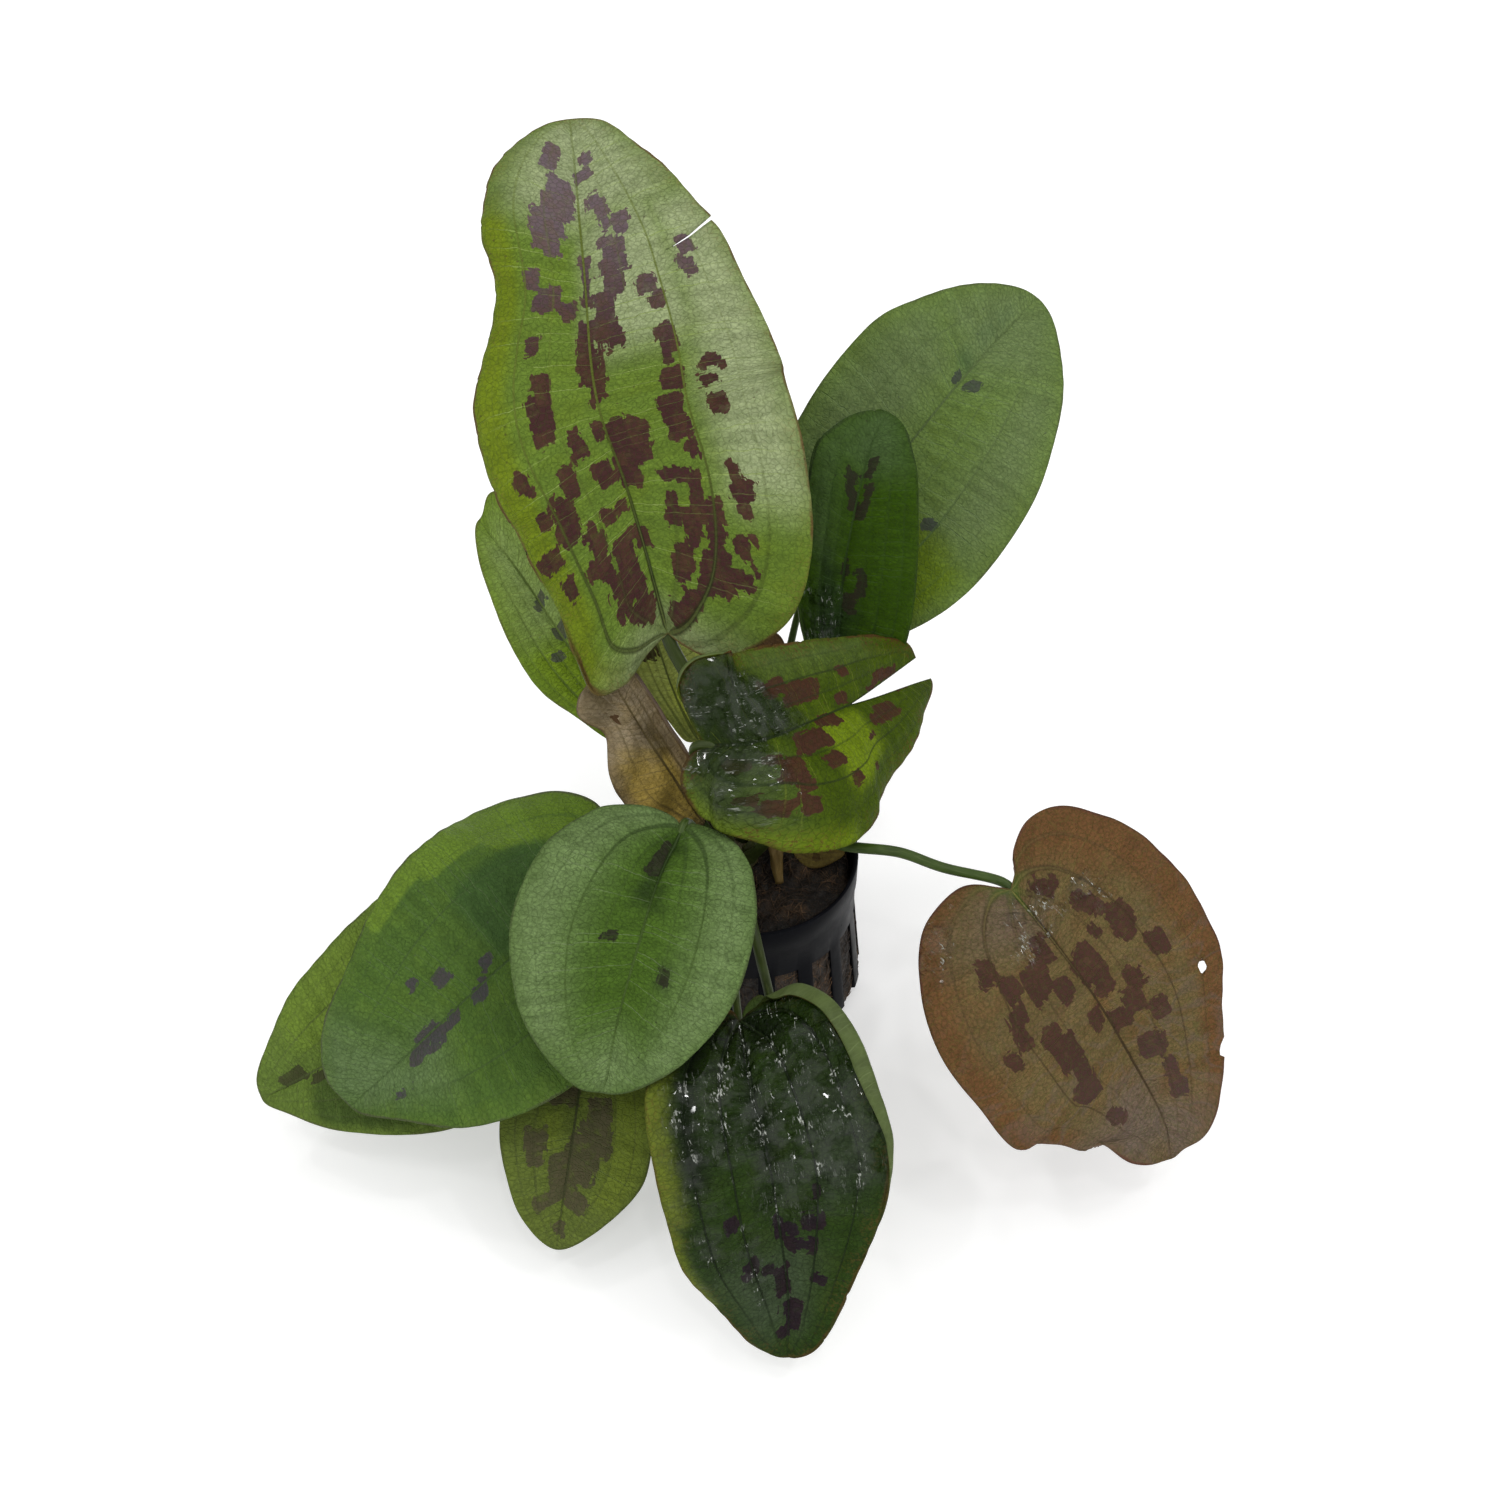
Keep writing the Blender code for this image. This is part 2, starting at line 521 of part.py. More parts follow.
def lumps(x, y):
    """Unevenness of the medium's top at a place: broad humps and smaller ones."""
    broad = math.sin(0.55 * x + 1.1) * math.cos(0.48 * y - 0.4)
    small = math.sin(1.1 * x - 0.9 * y)
    return MEDIUM_LUMP * (broad + 0.5 * small)


def make_medium():
    """The plug of fibrous medium that fills the pot to just below its rim."""
    room = WALL + FIT_GAP + CHORD_EASE
    flare = BASE_RADIUS + RIB_FLARE - room
    neck = RIM_RADIUS - NECK_STEP - room
    flare_foot = SLOT_BOTTOM + FLARE_RISE
    profile = [(BASE_THICKNESS + FIT_GAP, BASE_RADIUS - room - CHORD_EASE),
               (flare_foot, flare - FLARE_EASE),
               (flare_foot + FLARE_EASE, flare - CHORD_EASE),
               (SLOT_TOP, neck),
               (MEDIUM_TOP - MEDIUM_SHOULDER, neck)]
    bm = bmesh.new()
    rings = []
    for height, radius in profile:
        rings.append([bm.verts.new((radius * math.cos(a), radius * math.sin(a), height)) for a in circle()])
    for radius in MEDIUM_RINGS:
        ring = []
        for angle in circle():
            x, y = radius * math.cos(angle), radius * math.sin(angle)
            ring.append(bm.verts.new((x, y, MEDIUM_TOP + lumps(x, y))))
        rings.append(ring)
    for below, above in zip(rings, rings[1:]):
        for index in range(MEDIUM_SIDES):
            after = (index + 1) % MEDIUM_SIDES
            bm.faces.new([below[index], below[after], above[after], above[index]])
    bm.faces.new(rings[0])
    centre = bm.verts.new((0, 0, MEDIUM_TOP))
    for index in range(MEDIUM_SIDES):
        bm.faces.new([rings[-1][index], rings[-1][(index + 1) % MEDIUM_SIDES], centre])
    mesh = mesh_from_bmesh("growing_medium", bm)
    add_object("growing_medium", mesh, make_material("growing_medium", (0.06, 0.035, 0.018), 0.95))


def circle():
    return [2 * math.pi * index / MEDIUM_SIDES for index in range(MEDIUM_SIDES)]


def make_crown():
    """The short rootstock that the stalks grow from, a low dome on the medium."""
    bm = bmesh.new()
    foot = MEDIUM_TOP + 1.2 * MEDIUM_LUMP + FIT_GAP
    rings = []
    for level, share in CROWN_LEVELS:
        ring = []
        for side in range(CROWN_SIDES):
            angle = 2 * math.pi * side / CROWN_SIDES
            x = CROWN_CENTRE[0] + CROWN_RADIUS * share * math.cos(angle)
            y = CROWN_CENTRE[1] + CROWN_RADIUS * share * math.sin(angle)
            ring.append(bm.verts.new((x, y, foot + level * CROWN_HEIGHT)))
        rings.append(ring)
    for below, above in zip(rings, rings[1:]):
        for side in range(CROWN_SIDES):
            after = (side + 1) % CROWN_SIDES
            bm.faces.new([below[side], below[after], above[after], above[side]])
    bm.faces.new(rings[0])
    bm.faces.new(rings[-1])
    mesh = mesh_from_bmesh("crown", bm)
    add_object("crown", mesh, make_material("crown", (0.12, 0.13, 0.04), 0.6))


clear_scene()
make_pot()
make_medium()
make_crown()
for leaf_name, leaf_values in LEAVES.items():
    leaf_object, leaf_blade = make_blade("leaf_" + leaf_name, leaf_values)
    make_stalk("stalk_" + leaf_name, leaf_values, leaf_blade)
    for number, hole in enumerate(leaf_values.get("holes", [])):
        cut_hole(leaf_object, leaf_blade, number, *hole)
make_stalk("dead_stalk", DEAD_STALK, colour=(0.22, 0.15, 0.05))
make_blade("withered_leaf", WITHERED_LEAF)
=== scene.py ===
import math
import random

import bmesh
import bpy
import numpy as np
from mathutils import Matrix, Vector, noise


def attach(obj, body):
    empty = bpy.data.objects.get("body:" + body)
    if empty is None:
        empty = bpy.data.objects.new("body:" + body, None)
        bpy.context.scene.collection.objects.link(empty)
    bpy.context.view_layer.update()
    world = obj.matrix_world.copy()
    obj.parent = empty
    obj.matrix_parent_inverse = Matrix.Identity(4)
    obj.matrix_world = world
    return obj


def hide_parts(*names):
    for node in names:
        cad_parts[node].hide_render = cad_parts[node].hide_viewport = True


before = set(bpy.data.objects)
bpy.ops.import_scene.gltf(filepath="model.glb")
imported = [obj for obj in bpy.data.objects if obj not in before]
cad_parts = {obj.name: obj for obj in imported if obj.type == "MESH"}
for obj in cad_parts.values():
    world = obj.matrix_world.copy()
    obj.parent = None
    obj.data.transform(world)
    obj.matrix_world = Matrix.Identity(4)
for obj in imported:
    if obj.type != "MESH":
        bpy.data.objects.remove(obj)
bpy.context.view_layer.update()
mm = 0.001
print("frame loaded with", len(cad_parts), "nodes")


# small helpers for nodes, used by every material

def feed(tree, node, feeds):
    # a socket is linked, and any other value is set
    for key, value in feeds.items():
        if isinstance(value, bpy.types.NodeSocket):
            tree.links.new(value, node.inputs[key])
        else:
            node.inputs[key].default_value = value
    return node


def put(tree, kind, feeds=None, **settings):
    node = tree.nodes.new(kind)
    for key, value in settings.items():
        setattr(node, key, value)
    return feed(tree, node, feeds or {})


def calc(tree, operation, first, second=0.0, clamp=False):
    return put(tree, "ShaderNodeMath", {0: first, 1: second}, operation=operation, use_clamp=clamp).outputs[0]


def times(tree, first, *others, clamp=False):
    for other in others:
        first = calc(tree, "MULTIPLY", first, other, clamp)
    return first


def plus(tree, first, *others, clamp=False):
    for other in others:
        first = calc(tree, "ADD", first, other, clamp)
    return first


def minus(tree, first, second):
    return calc(tree, "SUBTRACT", first, second)


def fade(tree, value, low, high, start=0.0, end=1.0):
    feeds = {"Value": value, "From Min": low, "From Max": high, "To Min": start, "To Max": end}
    return put(tree, "ShaderNodeMapRange", feeds, interpolation_type="SMOOTHSTEP").outputs["Result"]


def mixTone(tree, amount, first, second, kind="MIX"):
    feeds = {0: amount, 6: first, 7: second}
    return put(tree, "ShaderNodeMix", feeds, data_type="RGBA", blend_type=kind).outputs[2]


def tone(colour):
    return (*colour, 1.0)


def mottleNoise(tree, place, scale, detail=3.0, rough=0.55):
    feeds = {"Vector": place, "Scale": scale, "Detail": detail, "Roughness": rough}
    return put(tree, "ShaderNodeTexNoise", feeds).outputs[0]


def newGroup(name, inputs, outputs):
    tree = bpy.data.node_groups.new(name, "ShaderNodeTree")
    for title, kind in inputs:
        tree.interface.new_socket(title, in_out="INPUT", socket_type="NodeSocket" + kind)
    for title, kind in outputs:
        tree.interface.new_socket(title, in_out="OUTPUT", socket_type="NodeSocket" + kind)
    return tree, tree.nodes.new("NodeGroupInput"), tree.nodes.new("NodeGroupOutput")


def useGroup(tree, group, feeds):
    return put(tree, "ShaderNodeGroup", feeds, node_tree=group)


def darken(tree, colour, shade):
    grey = put(tree, "ShaderNodeCombineColor", {0: shade, 1: shade, 2: shade}).outputs[0]
    return mixTone(tree, 1.0, colour, grey, "MULTIPLY")


def drawnOut(tree, place, scale, turn=(0, 0, 0)):
    return put(tree, "ShaderNodeMapping", {"Vector": place, "Rotation": turn, "Scale": scale}).outputs[0]


def newMaterial(name):
    material = bpy.data.materials.new(name)
    material.use_nodes = True
    tree = material.node_tree
    return material, tree, tree.nodes["Principled BSDF"]


def dress(tree, shader, height, feeds):
    # the relief is given in mm
    relief = put(tree, "ShaderNodeBump", {"Strength": 1.0, "Distance": mm, "Height": height}).outputs[0]
    feed(tree, shader, {**feeds, "Normal": relief})


# node groups: the leaf's network of veins, a stain with a blocky edge, and a film of wetness

def makeVeinGroup():
    # Across is u from -1 to 1, Cross runs along the leaf in mm with the slant of the cross veins
    tree, given, result = newGroup(
        "leafVeins",
        [("Across", "Float"), ("Cross", "Float"), ("Flat", "Vector"), ("Gap", "Float"), ("Pitch", "Float")],
        [("Main", "Float"), ("CrossVein", "Float"), ("Fine", "Float"), ("Cell", "Float"), ("Strip", "Float")])
    across, cross = given.outputs["Across"], given.outputs["Cross"]
    pitch = given.outputs["Pitch"]
    flat = given.outputs["Flat"]
    wobble = times(tree, minus(tree, mottleNoise(tree, flat, 0.25, 2.0), 0.5), 1.1)
    panel = calc(tree, "FLOOR", times(tree, across, 2.1))
    shift = put(tree, "ShaderNodeTexWhiteNoise", {"W": panel}, noise_dimensions="1D").outputs["Value"]
    shift = times(tree, shift, 0.35)    # the veins of neighbouring panels don't line up
    place = plus(tree, calc(tree, "DIVIDE", plus(tree, cross, wobble), pitch), shift)
    index = calc(tree, "FLOOR", place)
    inside = calc(tree, "ABSOLUTE", minus(tree, calc(tree, "FRACT", place), 0.5))
    spot = put(tree, "ShaderNodeCombineXYZ", {0: panel, 1: index}).outputs[0]
    chance = put(tree, "ShaderNodeTexWhiteNoise", {"Vector": spot}, noise_dimensions="2D").outputs["Value"]
    strength = fade(tree, chance, 0.62, 0.9, 0.06, 1.0)
    line = fade(tree, times(tree, inside, pitch), 0.15, 0.03)
    crossVein = times(tree, line, strength)
    # finer net between the cross veins
    net = put(tree, "ShaderNodeTexVoronoi", {"Vector": flat, "Scale": 0.7},
              feature="DISTANCE_TO_EDGE").outputs["Distance"]
    fine = fade(tree, net, 0.1, 0.02)
    # angular cells between neighbouring veins, which give stains their stepped edges
    cells = []
    flatX = put(tree, "ShaderNodeSeparateXYZ", {0: flat}).outputs[0]
    for wide, tall in ((0.36, 0.3), (1.0, 0.85)):
        feeds = {0: times(tree, flatX, wide), 1: times(tree, cross, tall)}
        block = put(tree, "ShaderNodeCombineXYZ", feeds).outputs[0]
        patch = put(tree, "ShaderNodeTexVoronoi", {"Vector": block, "Scale": 1.0, "Randomness": 0.55},
                    voronoi_dimensions="2D", distance="CHEBYCHEV").outputs["Color"]
        cells.append(put(tree, "ShaderNodeSeparateColor", {0: patch}).outputs[0])
    cell = plus(tree, times(tree, cells[0], 0.68), times(tree, cells[1], 0.32))
    main = fade(tree, given.outputs["Gap"], 0.45, 0.1)
    feed(tree, result, {"Main": main, "CrossVein": crossVein, "Fine": fine, "Cell": cell, "Strip": chance})
    return tree


def makeStainGroup():
    # Field is how far inside the stain a place lies, in mm
    tree, given, result = newGroup(
        "stainMask",
        [("Field", "Float"), ("Cell", "Float"), ("Flat", "Vector"), ("Jag", "Float"), ("Soft", "Float")],
        [("Mask", "Float")])
    field, cell, flat, jag, soft = given.outputs[:5]
    stepped = times(tree, minus(tree, cell, 0.5), jag)
    ragged = minus(tree, mottleNoise(tree, flat, 0.7, 3.0), 0.5)
    ragged = times(tree, ragged, times(tree, jag, 0.4))
    total = plus(tree, field, stepped, ragged)
    feed(tree, result, {"Mask": fade(tree, total, times(tree, soft, -1.0), soft)})
    return tree


def makeFilmGroup():
    # a wet film: smooth swells drawn out along the leaf, and thin streaks beside the veins where pale glints
    # are painted into the colour
    tree, given, result = newGroup(
        "wetFilm", [("Wet", "Float"), ("Flat", "Vector"), ("Gap", "Float"), ("Dry", "Float")],
        [("Height", "Float"), ("Roughness", "Float"), ("Coat", "Float"), ("GlintStreaks", "Float")])
    wet, flat = given.outputs["Wet"], given.outputs["Flat"]
    swell = mottleNoise(tree, flat, 0.2, 2.0)
    drawn = drawnOut(tree, flat, (1.0, 0.16, 0.16))
    streaks = calc(tree, "ABSOLUTE", minus(tree, mottleNoise(tree, drawn, 0.42, 4.0, 0.6), 0.5))
    grain = mottleNoise(tree, flat, 0.62, 3.0, 0.6)
    ruffled = fade(tree, mottleNoise(tree, flat, 0.16, 3.0), 0.44, 0.58)
    nearVein = fade(tree, given.outputs["Gap"], 2.6, 0.7, 0.12, 1.0)
    height = times(tree, plus(tree, times(tree, streaks, 2.4), grain), ruffled)
    height = plus(tree, height, times(tree, swell, 2.0))
    rough = put(tree, "ShaderNodeMix", {0: wet, 2: given.outputs["Dry"], 3: 0.14}).outputs[0]
    # mask of the painted glints: thin broken streaks near the veins, only where the leaf is wet
    glintStreaks = times(tree, fade(tree, streaks, 0.022, 0.004), fade(tree, grain, 0.47, 0.56), wet, nearVein)
    glintStreaks = times(tree, glintStreaks, fade(tree, ruffled, 0.0, 0.6))
    coat = times(tree, wet, fade(tree, swell, 0.42, 0.6, 0.12, 1.0))
    feed(tree, result, {"Height": times(tree, height, wet), "Roughness": rough, "Coat": coat, "GlintStreaks": glintStreaks})
    return tree


veinGroup = makeVeinGroup()
stainGroup = makeStainGroup()
filmGroup = makeFilmGroup()
print("node groups ready")


# leaves: sizes in millimetres and degrees
# An outline is (along, across) from the joint with the stalk to the tip, before the blade is bent.
# Spots are (u, v, half u, half v): u runs from -1 at the left margin to 1 at the right one,
# and v from 0 at the joint to 1 at the tip.

leaves = {
    "tallBack": dict(
        node="tall_back", slot="mottled_leaf",
        midrib=[(-20, 23.5, 100), (-28.5, 40.5, 128), (-36.5, 55, 148), (-40, 82, 174), (-43.5, 112.5, 186)],
        face=[(0.05, -0.72, 0.7), (0, -0.66, 0.75)],
        left=[(-2.5, 4.5), (-9.5, 13.5), (-9, 22), (4.5, 23.5), (26, 28), (47.5, 31), (59.5, 30),
              (70.5, 26.5), (84, 22), (107, 24), (121, 19), (129.5, 10)],
        right=[(-4, 3), (-9, 9), (-9.5, 17), (-4.5, 29.5), (8.5, 38), (29, 42.5), (62.5, 44.5),
               (89, 36), (102, 29), (120.5, 16), (128.5, 8.5)],
        leftBend=(6, -46, 0.55), rightBend=(6, -10, 0.3),
        slit=dict(side=1, along=0.755, start=0.55, gap=1.2, slant=0.045),
        stalk=[(-7, 4.5, 45), (-5, 4.5, 56), (-8, 9, 71), (-12, 15, 85)], stalkRadius=(2.0, 1.7),
        curl=dict(side=-1, width=1.8, radius=0.5, first=0.08, last=0.27), midribReach=0.93,
        veins=((-0.82, 0.15), (-0.64, 0.6), (-0.34, 0.25), (0.24, 0.25), (0.47, 0.7), (0.76, 0.3)),
        grow=0.32, jag=2.5, ridge=0.2, freckle=0.45, outline=0.85,
        crossStrength=0.65, jointTone=(0.02, 0.024, 0.006),
        green=(0.1, 0.16, 0.02), sheenTone=(0.31, 0.35, 0.2), bright=(0.128, 0.178, 0.006),
        blotch=(0.045, 0.016, 0.016), blotchSheen=(0.12, 0.088, 0.1), veinTone=(0.1, 0.13, 0.02),
        crossTone=(0.26, 0.34, 0.09), edgeTone=(0.1, 0.055, 0.02), dark=(0.035, 0.06, 0.008),
        spots=[(-0.3, 0.1, 0.07, 0.03), (-0.36, 0.15, 0.06, 0.035), (-0.42, 0.2, 0.06, 0.03),
               (-0.45, 0.26, 0.05, 0.03), (0.4, 0.1, 0.05, 0.04), (0.43, 0.18, 0.04, 0.04),
               (0.46, 0.26, 0.04, 0.04), (0.6, 0.2, 0.13, 0.015), (0.52, 0.17, 0.08, 0.012),
               (0.2, 0.78, 0.04, 0.03), (0.17, 0.7, 0.05, 0.04), (0.13, 0.6, 0.04, 0.04),
               (0.0, 0.66, 0.04, 0.04),
               (-0.36, 0.9, 0.1, 0.03), (-0.21, 0.82, 0.14, 0.04), (-0.31, 0.77, 0.16, 0.02),
               (-0.36, 0.74, 0.12, 0.02), (-0.56, 0.68, 0.06, 0.01), (0.2, 0.9, 0.07, 0.01),
               (0.08, 0.87, 0.1, 0.01), (0.15, 0.81, 0.04, 0.01), (0.31, 0.76, 0.07, 0.02),
               (0.23, 0.71, 0.07, 0.03), (0.17, 0.66, 0.07, 0.02), (0.1, 0.62, 0.05, 0.03),
               (0.15, 0.57, 0.04, 0.02), (0, 0.58, 0.07, 0.01), (-0.02, 0.53, 0.07, 0.06),
               (0, 0.46, 0.04, 0.02), (-0.4, 0.65, 0.13, 0.01), (-0.46, 0.64, 0.1, 0.005),
               (-0.2, 0.62, 0.08, 0.01), (-0.51, 0.58, 0.05, 0.01), (0.71, 0.72, 0.05, 0.01),
               (0.67, 0.69, 0.05, 0.01), (0.42, 0.64, 0.03, 0.01), (0.38, 0.66, 0.05, 0.003),
               (0.42, 0.58, 0.04, 0.02), (0.41, 0.55, 0.03, 0.02), (0.41, 0.5, 0.06, 0.02),
               (0.38, 0.43, 0.06, 0.04), (0.42, 0.41, 0.05, 0.01), (0.64, 0.54, 0.06, 0.01),
               (0.61, 0.5, 0.05, 0.01), (0.63, 0.45, 0.04, 0.02), (-0.41, 0.52, 0.06, 0.01),
               (-0.45, 0.48, 0.1, 0.03), (0.09, 0.37, 0.1, 0.04), (0.06, 0.4, 0.05, 0.02),
               (-0.06, 0.4, 0.04, 0.01), (0.17, 0.39, 0.05, 0.02), (0.03, 0.32, 0.07, 0.03),
               (-0.14, 0.34, 0.07, 0.02), (-0.25, 0.41, 0.06, 0.02), (-0.44, 0.39, 0.06, 0.01),
               (-0.44, 0.37, 0.05, 0.01), (-0.57, 0.36, 0.07, 0.02), (-0.59, 0.32, 0.09, 0.02),
               (-0.47, 0.29, 0.07, 0.01), (-0.39, 0.26, 0.05, 0.01), (-0.24, 0.28, 0.04, 0.01),
               (-0.11, 0.27, 0.03, 0.01), (0.3, 0.33, 0.09, 0.01), (0.24, 0.27, 0.04, 0.03),
               (0.38, 0.31, 0.03, 0.03), (0.34, 0.25, 0.04, 0.03), (0.42, 0.37, 0.03, 0.01),
               (0.22, 0.32, 0.03, 0.01), (-0.01, 0.19, 0.07, 0.02), (-0.2, 0.2, 0.12, 0.03),
               (-0.22, 0.16, 0.12, 0.03), (-0.18, 0.11, 0.09, 0.03), (-0.45, 0.22, 0.06, 0.01),
               (-0.53, 0.25, 0.04, 0.01), (-0.32, 0.16, 0.04, 0.01), (-0.44, 0.15, 0.03, 0.01),
               (-0.34, 0.11, 0.05, 0.02), (-0.84, 0.31, 0.09, 0.01), (-0.8, 0.26, 0.06, 0.01),
               (-0.74, 0.37, 0.05, 0.01), (-0.75, 0.43, 0.04, 0.01), (0.28, 0.18, 0.06, 0.03),
               (0.47, 0.25, 0.05, 0.01), (0.49, 0.22, 0.09, 0.01), (0.62, 0.25, 0.05, 0.01),
               (0.5, 0.19, 0.04, 0.01), (0.38, 0.12, 0.08, 0.02), (0.44, 0.15, 0.04, 0.01),
               (0.32, 0.08, 0.1, 0.02), (0.63, 0.33, 0.07, 0.01), (0.6, 0.35, 0.02, 0.01),
               (0.63, 0.31, 0.03, 0.01)],
        # the bright band along the left margin is painted light shining through the blade
        brightSpots=[(-0.86, 0.5, 0.13, 0.3), (-0.9, 0.22, 0.1, 0.1)],
        darkSpots=[(0, 0.04, 0.12, 0.015)],
        sheenSpots=[(0.1, 0.88, 0.8, 0.12), (0.78, 0.58, 0.2, 0.25), (0.3, 0.68, 0.3, 0.12),
                   (-0.75, 0.04, 0.3, 0.04), (0.7, 0.04, 0.25, 0.03)]),
    "backRight": dict(
        node="back_right", slot="green_leaf",
        midrib=[(14.5, 54, 85), (38.5, 72.5, 116), (57, 86, 134), (71.5, 100.5, 142)],
        face=[(-0.15, -0.65, 0.75), (-0.1, -0.6, 0.8)],
        left=[(-3, 2.5), (1, 13), (18, 23.5), (36.5, 26.5), (55, 27), (69.5, 24), (88.5, 12)],
        right=[(-2, 6), (0, 19.5), (8.5, 28), (28, 34.5), (54.5, 33.5), (74.5, 24.5), (88.5, 12.5)],
        leftBend=(5, 0, 0), rightBend=(5, -14, 0.3),
        stalk=[(-1.5, 8, 45), (1, 17, 54), (5, 31, 62), (9.5, 43.5, 73)], stalkRadius=(1.3, 0.9),
        green=(0.11, 0.17, 0.04), sheenTone=(0.11, 0.15, 0.06), bright=(0.1, 0.155, 0.005),
        blotch=(0.05, 0.06, 0.045), veinTone=(0.09, 0.13, 0.045), crossTone=(0.15, 0.21, 0.09),
        edgeTone=(0.06, 0.07, 0.03), dark=(0.05, 0.1, 0.03),
        spots=[(0.12, 0.7, 0.05, 0.008), (0.48, 0.39, 0.04, 0.01), (-0.06, 0.69, 0.03, 0.01)],
        darkSpots=[(-0.22, 0.89, 0.14, 0.03), (-0.17, 0.82, 0.14, 0.03), (-0.1, 0.74, 0.1, 0.02)],
        brightSpots=[(0.4, 0.25, 0.35, 0.12), (0.7, 0.2, 0.2, 0.15)],
        sheenSpots=[(0, 0.85, 0.8, 0.12), (-0.5, 0.5, 0.35, 0.25), (0.7, 0.6, 0.2, 0.2)]),
    "darkUpright": dict(
        node="dark_upright", slot="dark_leaf",
        midrib=[(21.5, 36.5, 68), (22.5, 43.5, 92), (25, 49, 114), (29, 54, 132), (33, 58.5, 140)],
        face=[(-0.1, -0.75, 0.6), (-0.1, -0.7, 0.65)],
        left=[(1, 3), (9, 7), (24, 10.5), (45.5, 11.5), (63, 13), (68.5, 10.5), (74, 5.5)],
        right=[(-1, 4), (5, 12), (16.5, 17.5), (38, 18), (61, 14), (73.5, 8)],
        leftBend=(8, -6, 0.3), rightBend=(8, -10, 0.3),
        stalk=[(0.5, 4, 45), (8, 15, 50), (16.5, 27, 56)], stalkRadius=(1.3, 1.0),
        curl=dict(side=-1, width=1.6, radius=0.6, first=0.05, last=0.42),
        green=(0.026, 0.062, 0.001), sheenTone=(0.06, 0.1, 0.035), bright=(0.045, 0.09, 0.002),
        blotch=(0.022, 0.019, 0.01), veinTone=(0.03, 0.06, 0.012), crossTone=(0.06, 0.11, 0.03),
        edgeTone=(0.02, 0.03, 0.012), dark=(0.012, 0.028, 0.006),
        spots=[(-0.23, 0.74, 0.08, 0.04), (-0.07, 0.69, 0.1, 0.04), (0.09, 0.65, 0.1, 0.03),
               (0.15, 0.72, 0.08, 0.04), (0.16, 0.82, 0.06, 0.02), (0.08, 0.76, 0.05, 0.03),
               (0.24, 0.41, 0.08, 0.05), (0.13, 0.33, 0.1, 0.04), (0, 0.43, 0.04, 0.05)],
        darkSpots=[(-0.43, 0.46, 0.11, 0.05), (-0.33, 0.38, 0.2, 0.07), (-0.2, 0.25, 0.4, 0.07)],
        sheenSpots=[(0, 0.9, 0.8, 0.12), (-0.7, 0.7, 0.2, 0.2)],
        wetSpots=[(-0.5, 0.2, 0.4, 0.15)]),
    "splitTip": dict(
        node="split_tip", slot="mottled_leaf",
        midrib=[(-10.5, -6.5, 92), (2.5, -6.5, 94), (24, 12, 87), (43, 32.5, 79)],
        face=[(0, -0.5, 0.85), (0.05, -0.5, 0.85)],
        left=[(-3, 6), (-5.5, 16), (0.5, 21.5), (16.5, 21.5), (34, 19.5), (54.5, 14), (70.5, 6)],
        right=[(-4.5, 2.5), (-6.5, 9), (-2, 17), (8.5, 23.5), (13.5, 29), (23, 31.5), (32, 29),
               (37.5, 23.5), (50.5, 17), (62.5, 8.5)],
        leftBend=(14, -10, 0.3), rightBend=(10, -40, 0.3),
        split=(0.6, 3.2), midribReach=0.57,
        stalk=[(-4.5, 0, 45.5), (-7, -2, 60), (-11, -5, 75)], stalkRadius=(1.5, 1.2),
        curl=dict(side=-1, width=1.9, radius=0.55, first=0.08, last=0.4), ridge=0.0, wetSoft=3.5,
        freckle=0.85, outline=0.85,
        green=(0.036, 0.062, 0.0), sheenTone=(0.09, 0.13, 0.035), bright=(0.125, 0.185, 0.004),
        wetDark=0.8, paintedGlint=0.45, cloudy=0.15, blotch=(0.046, 0.018, 0.01), veinTone=(0.02, 0.03, 0.008),
        crossTone=(0.14, 0.18, 0.02),
        edgeTone=(0.07, 0.03, 0.01), dark=(0.01, 0.02, 0.003),
        spots=[(-0.5, 0.39, 0.1, 0.05), (-0.36, 0.48, 0.12, 0.06), (-0.32, 0.4, 0.06, 0.02),
               (-0.47, 0.65, 0.06, 0.02), (-0.13, 0.58, 0.06, 0.03), (-0.12, 0.82, 0.12, 0.06),
               (-0.05, 0.73, 0.04, 0.03), (0.05, 0.47, 0.06, 0.05), (0.16, 0.39, 0.1, 0.06),
               (0.35, 0.44, 0.07, 0.03), (0.27, 0.25, 0.06, 0.03), (0.41, 0.31, 0.12, 0.03),
               (0.47, 0.34, 0.07, 0.02), (0.32, 0.18, 0.08, 0.03), (0.65, 0.26, 0.05, 0.01),
               (0.7, 0.3, 0.06, 0.02), (0.76, 0.32, 0.04, 0.01), (0.67, 0.37, 0.07, 0.02),
               (0.24, 0.73, 0.13, 0.05), (0.27, 0.68, 0.08, 0.03), (0.42, 0.62, 0.04, 0.02),
               (0.67, 0.6, 0.04, 0.01), (0.57, 0.5, 0.04, 0.02)],
        brightSpots=[(0.35, 0.55, 0.3, 0.1), (0.95, 0.3, 0.05, 0.15), (0.2, 0.5, 0.2, 0.05)],
        darkSpots=[(-0.6, 0.2, 0.35, 0.1), (-0.3, 0.26, 0.3, 0.1), (0.25, 0.14, 0.25, 0.07),
                   (-0.1, 0.1, 0.5, 0.07)],
        sheenSpots=[(0.6, 0.2, 0.3, 0.08), (-0.8, 0.6, 0.12, 0.2)],
        wetSpots=[(-0.7, 0.18, 0.27, 0.1), (-0.45, 0.24, 0.3, 0.12), (-0.2, 0.27, 0.2, 0.1),
                  (0.4, 0.14, 0.35, 0.1),
                  (0.7, 0.24, 0.12, 0.04)]),
    "backLeft": dict(
        node="back_left", slot="green_leaf",
        midrib=[(-31.5, 36, 50), (-48, 47.5, 76), (-61, 60.5, 90), (-69, 69, 96)],
        face=[(-0.2, -0.62, 0.75), (-0.2, -0.6, 0.78)],
        left=[(1.5, 4), (11, 8), (21.5, 12), (32, 13), (45, 11), (61, 6.5)],
